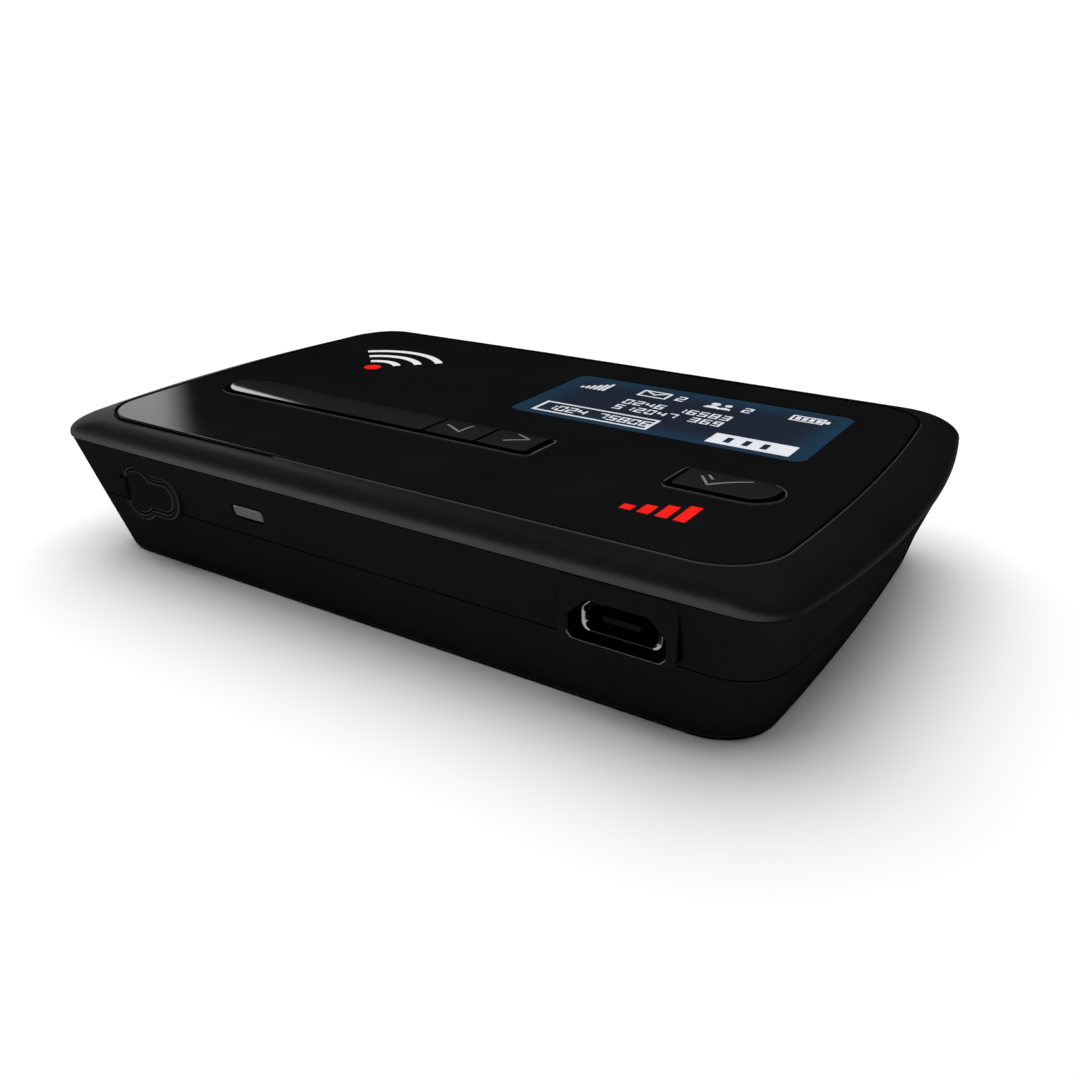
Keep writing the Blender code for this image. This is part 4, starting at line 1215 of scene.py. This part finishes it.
# Floor, light and camera
def build_floor():
    half, depth = 0.6, 0.01
    floor = block("floor", (-half, -half, -depth), (half, half, 0.0))
    white = surface("floor_white", (0.88, 0.88, 0.88), 0.9, tone=0.01, smear_size=0.3, Specular_IOR_Level=0.0)
    floor.data.materials.append(white)
    floor.visible_glossy = False


def heading(azimuth, elevation, distance):
    """A place at an azimuth from +Y towards -X, an elevation and a distance from the case."""
    azimuth, elevation = math.radians(azimuth), math.radians(elevation)
    flat = distance * math.cos(elevation)
    height = lens_top + distance * math.sin(elevation)
    return Vector((-flat * math.sin(azimuth), flat * math.cos(azimuth), height))


def glow(name, strength, fade_width, rise=None):
    """A lit card that fades out over a width at its right edge; rise is (low, high, factor) up its height."""
    material, nodes, link, shader = node_material(name)
    nodes.remove(shader)
    emit = nodes.new("ShaderNodeEmission")
    link(emit.outputs["Emission"], nodes["Material Output"].inputs["Surface"])
    axes = own_axes(nodes, link)
    light = ranged(nodes, link, axes["X"], (0.0, fade_width), (0.0, strength))
    if rise:
        low, high, factor = rise
        climb = ranged(nodes, link, axes["Z"], (low, high), (1.0, factor))
        light = maths(nodes, link, "MULTIPLY", light, climb)
    link(light, emit.inputs["Strength"])
    return material


def lit_panel(name, corners, place, turn, material):
    """A lit panel seen only in reflections, turned about its own origin."""
    mesh_edit = bmesh.new()
    mesh_edit.faces.new([mesh_edit.verts.new(corner) for corner in corners])
    panel = make(name, mesh_edit)
    panel.location = place
    panel.rotation_euler = (0, 0, math.radians(turn))
    panel.data.materials.append(material)
    panel.visible_camera = False
    panel.visible_diffuse = False
    panel.visible_transmission = False
    panel.visible_shadow = False


CARD_TURN = 230
CARD_DISTANCE = 1.0


def card(name, azimuth, width, low, high, strength, fade_width, rise=None):
    """An upright lit card; it starts at an azimuth and runs off to the left."""
    corners = ((0, 0, low), (width, 0, low), (width, 0, high), (0, 0, high))
    place = heading(azimuth, 0, CARD_DISTANCE)
    lit_panel(name, corners, place, CARD_TURN, glow(name, strength, fade_width, rise))


def sheet(name, right, front, left, back, height, strength, fade_width):
    """A lit part of the floor beside the case; it fades out at its right edge."""
    width, depth = right - left, front - back
    corners = ((0, 0, 0), (width, 0, 0), (width, depth, 0), (0, depth, 0))
    lit_panel(name, corners, (right, front, height), 180, glow(name, strength, fade_width))


def overhead(name, azimuth, elevation, distance, size, power):
    """A soft overhead light that leaves no reflection of its own."""
    lamp = bpy.data.lights.new(name, "AREA")
    lamp.energy = power
    lamp.shape = "SQUARE"
    lamp.size = size
    holder = bpy.data.objects.new(name, lamp)
    holder.location = heading(azimuth, elevation, distance)
    holder.rotation_euler = (-holder.location).to_track_quat("-Z", "Y").to_euler()
    holder.visible_glossy = False
    holder.visible_transmission = False
    holder.visible_camera = False
    bpy.context.scene.collection.objects.link(holder)


def build_light_set():
    world = bpy.data.worlds.new("studio")
    bpy.context.scene.world = world
    world.use_nodes = True
    world.node_tree.nodes["Background"].inputs["Color"].default_value = (1, 1, 1, 1)
    world.node_tree.nodes["Background"].inputs["Strength"].default_value = 1.1
    world.cycles_visibility.diffuse = False
    world.cycles_visibility.glossy = False
    world.cycles_visibility.transmission = False
    overhead("top_soft", azimuth=44, elevation=70, distance=2.6, size=4.8, power=186)
    card("left_card", azimuth=53.5, width=0.16, low=0.0, high=0.62, strength=0.95, fade_width=0.040,
         rise=(0.32, 0.44, 3.4))
    card("left_wall", azimuth=62.0, width=3.0, low=-0.1, high=0.6, strength=0.6, fade_width=0.05)
    sheet("front_sheet", right=0.22, front=-0.045, left=-0.075, back=-1.2, height=0.0005, strength=3.5,
          fade_width=0.15)
    sheet("front_sheet_left", right=-0.06, front=-0.045, left=-1.0, back=-1.2, height=0.0004, strength=2.0,
          fade_width=0.03)
    sheet("right_sheet", right=0.35, front=0.35, left=0.056, back=-0.02, height=0.0005, strength=0.25,
          fade_width=0.1)


def build_camera():
    camera = bpy.data.cameras.new("camera")
    frame_pixels = 1080
    focal_pixels = 1054.57
    camera.sensor_width = 36
    camera.lens = camera.sensor_width * focal_pixels / frame_pixels
    camera.clip_start = 0.005
    camera.clip_end = 20
    holder = bpy.data.objects.new("camera", camera)
    right = Vector((0.84099, 0.54106, -0.00077))
    up = Vector((-0.21788, 0.33995, 0.91486))
    ahead = Vector((-0.49525, 0.76921, -0.40378))
    place = Vector((0.070346, -0.102542, 0.037733 + lens_top))
    turn = Matrix((right, up, -ahead)).transposed()
    holder.matrix_world = Matrix.Translation(place) @ turn.to_4x4()
    bpy.context.scene.collection.objects.link(holder)
    bpy.context.scene.camera = holder


build_floor()
build_light_set()
build_camera()
bpy.context.scene.view_settings.view_transform = "Standard"
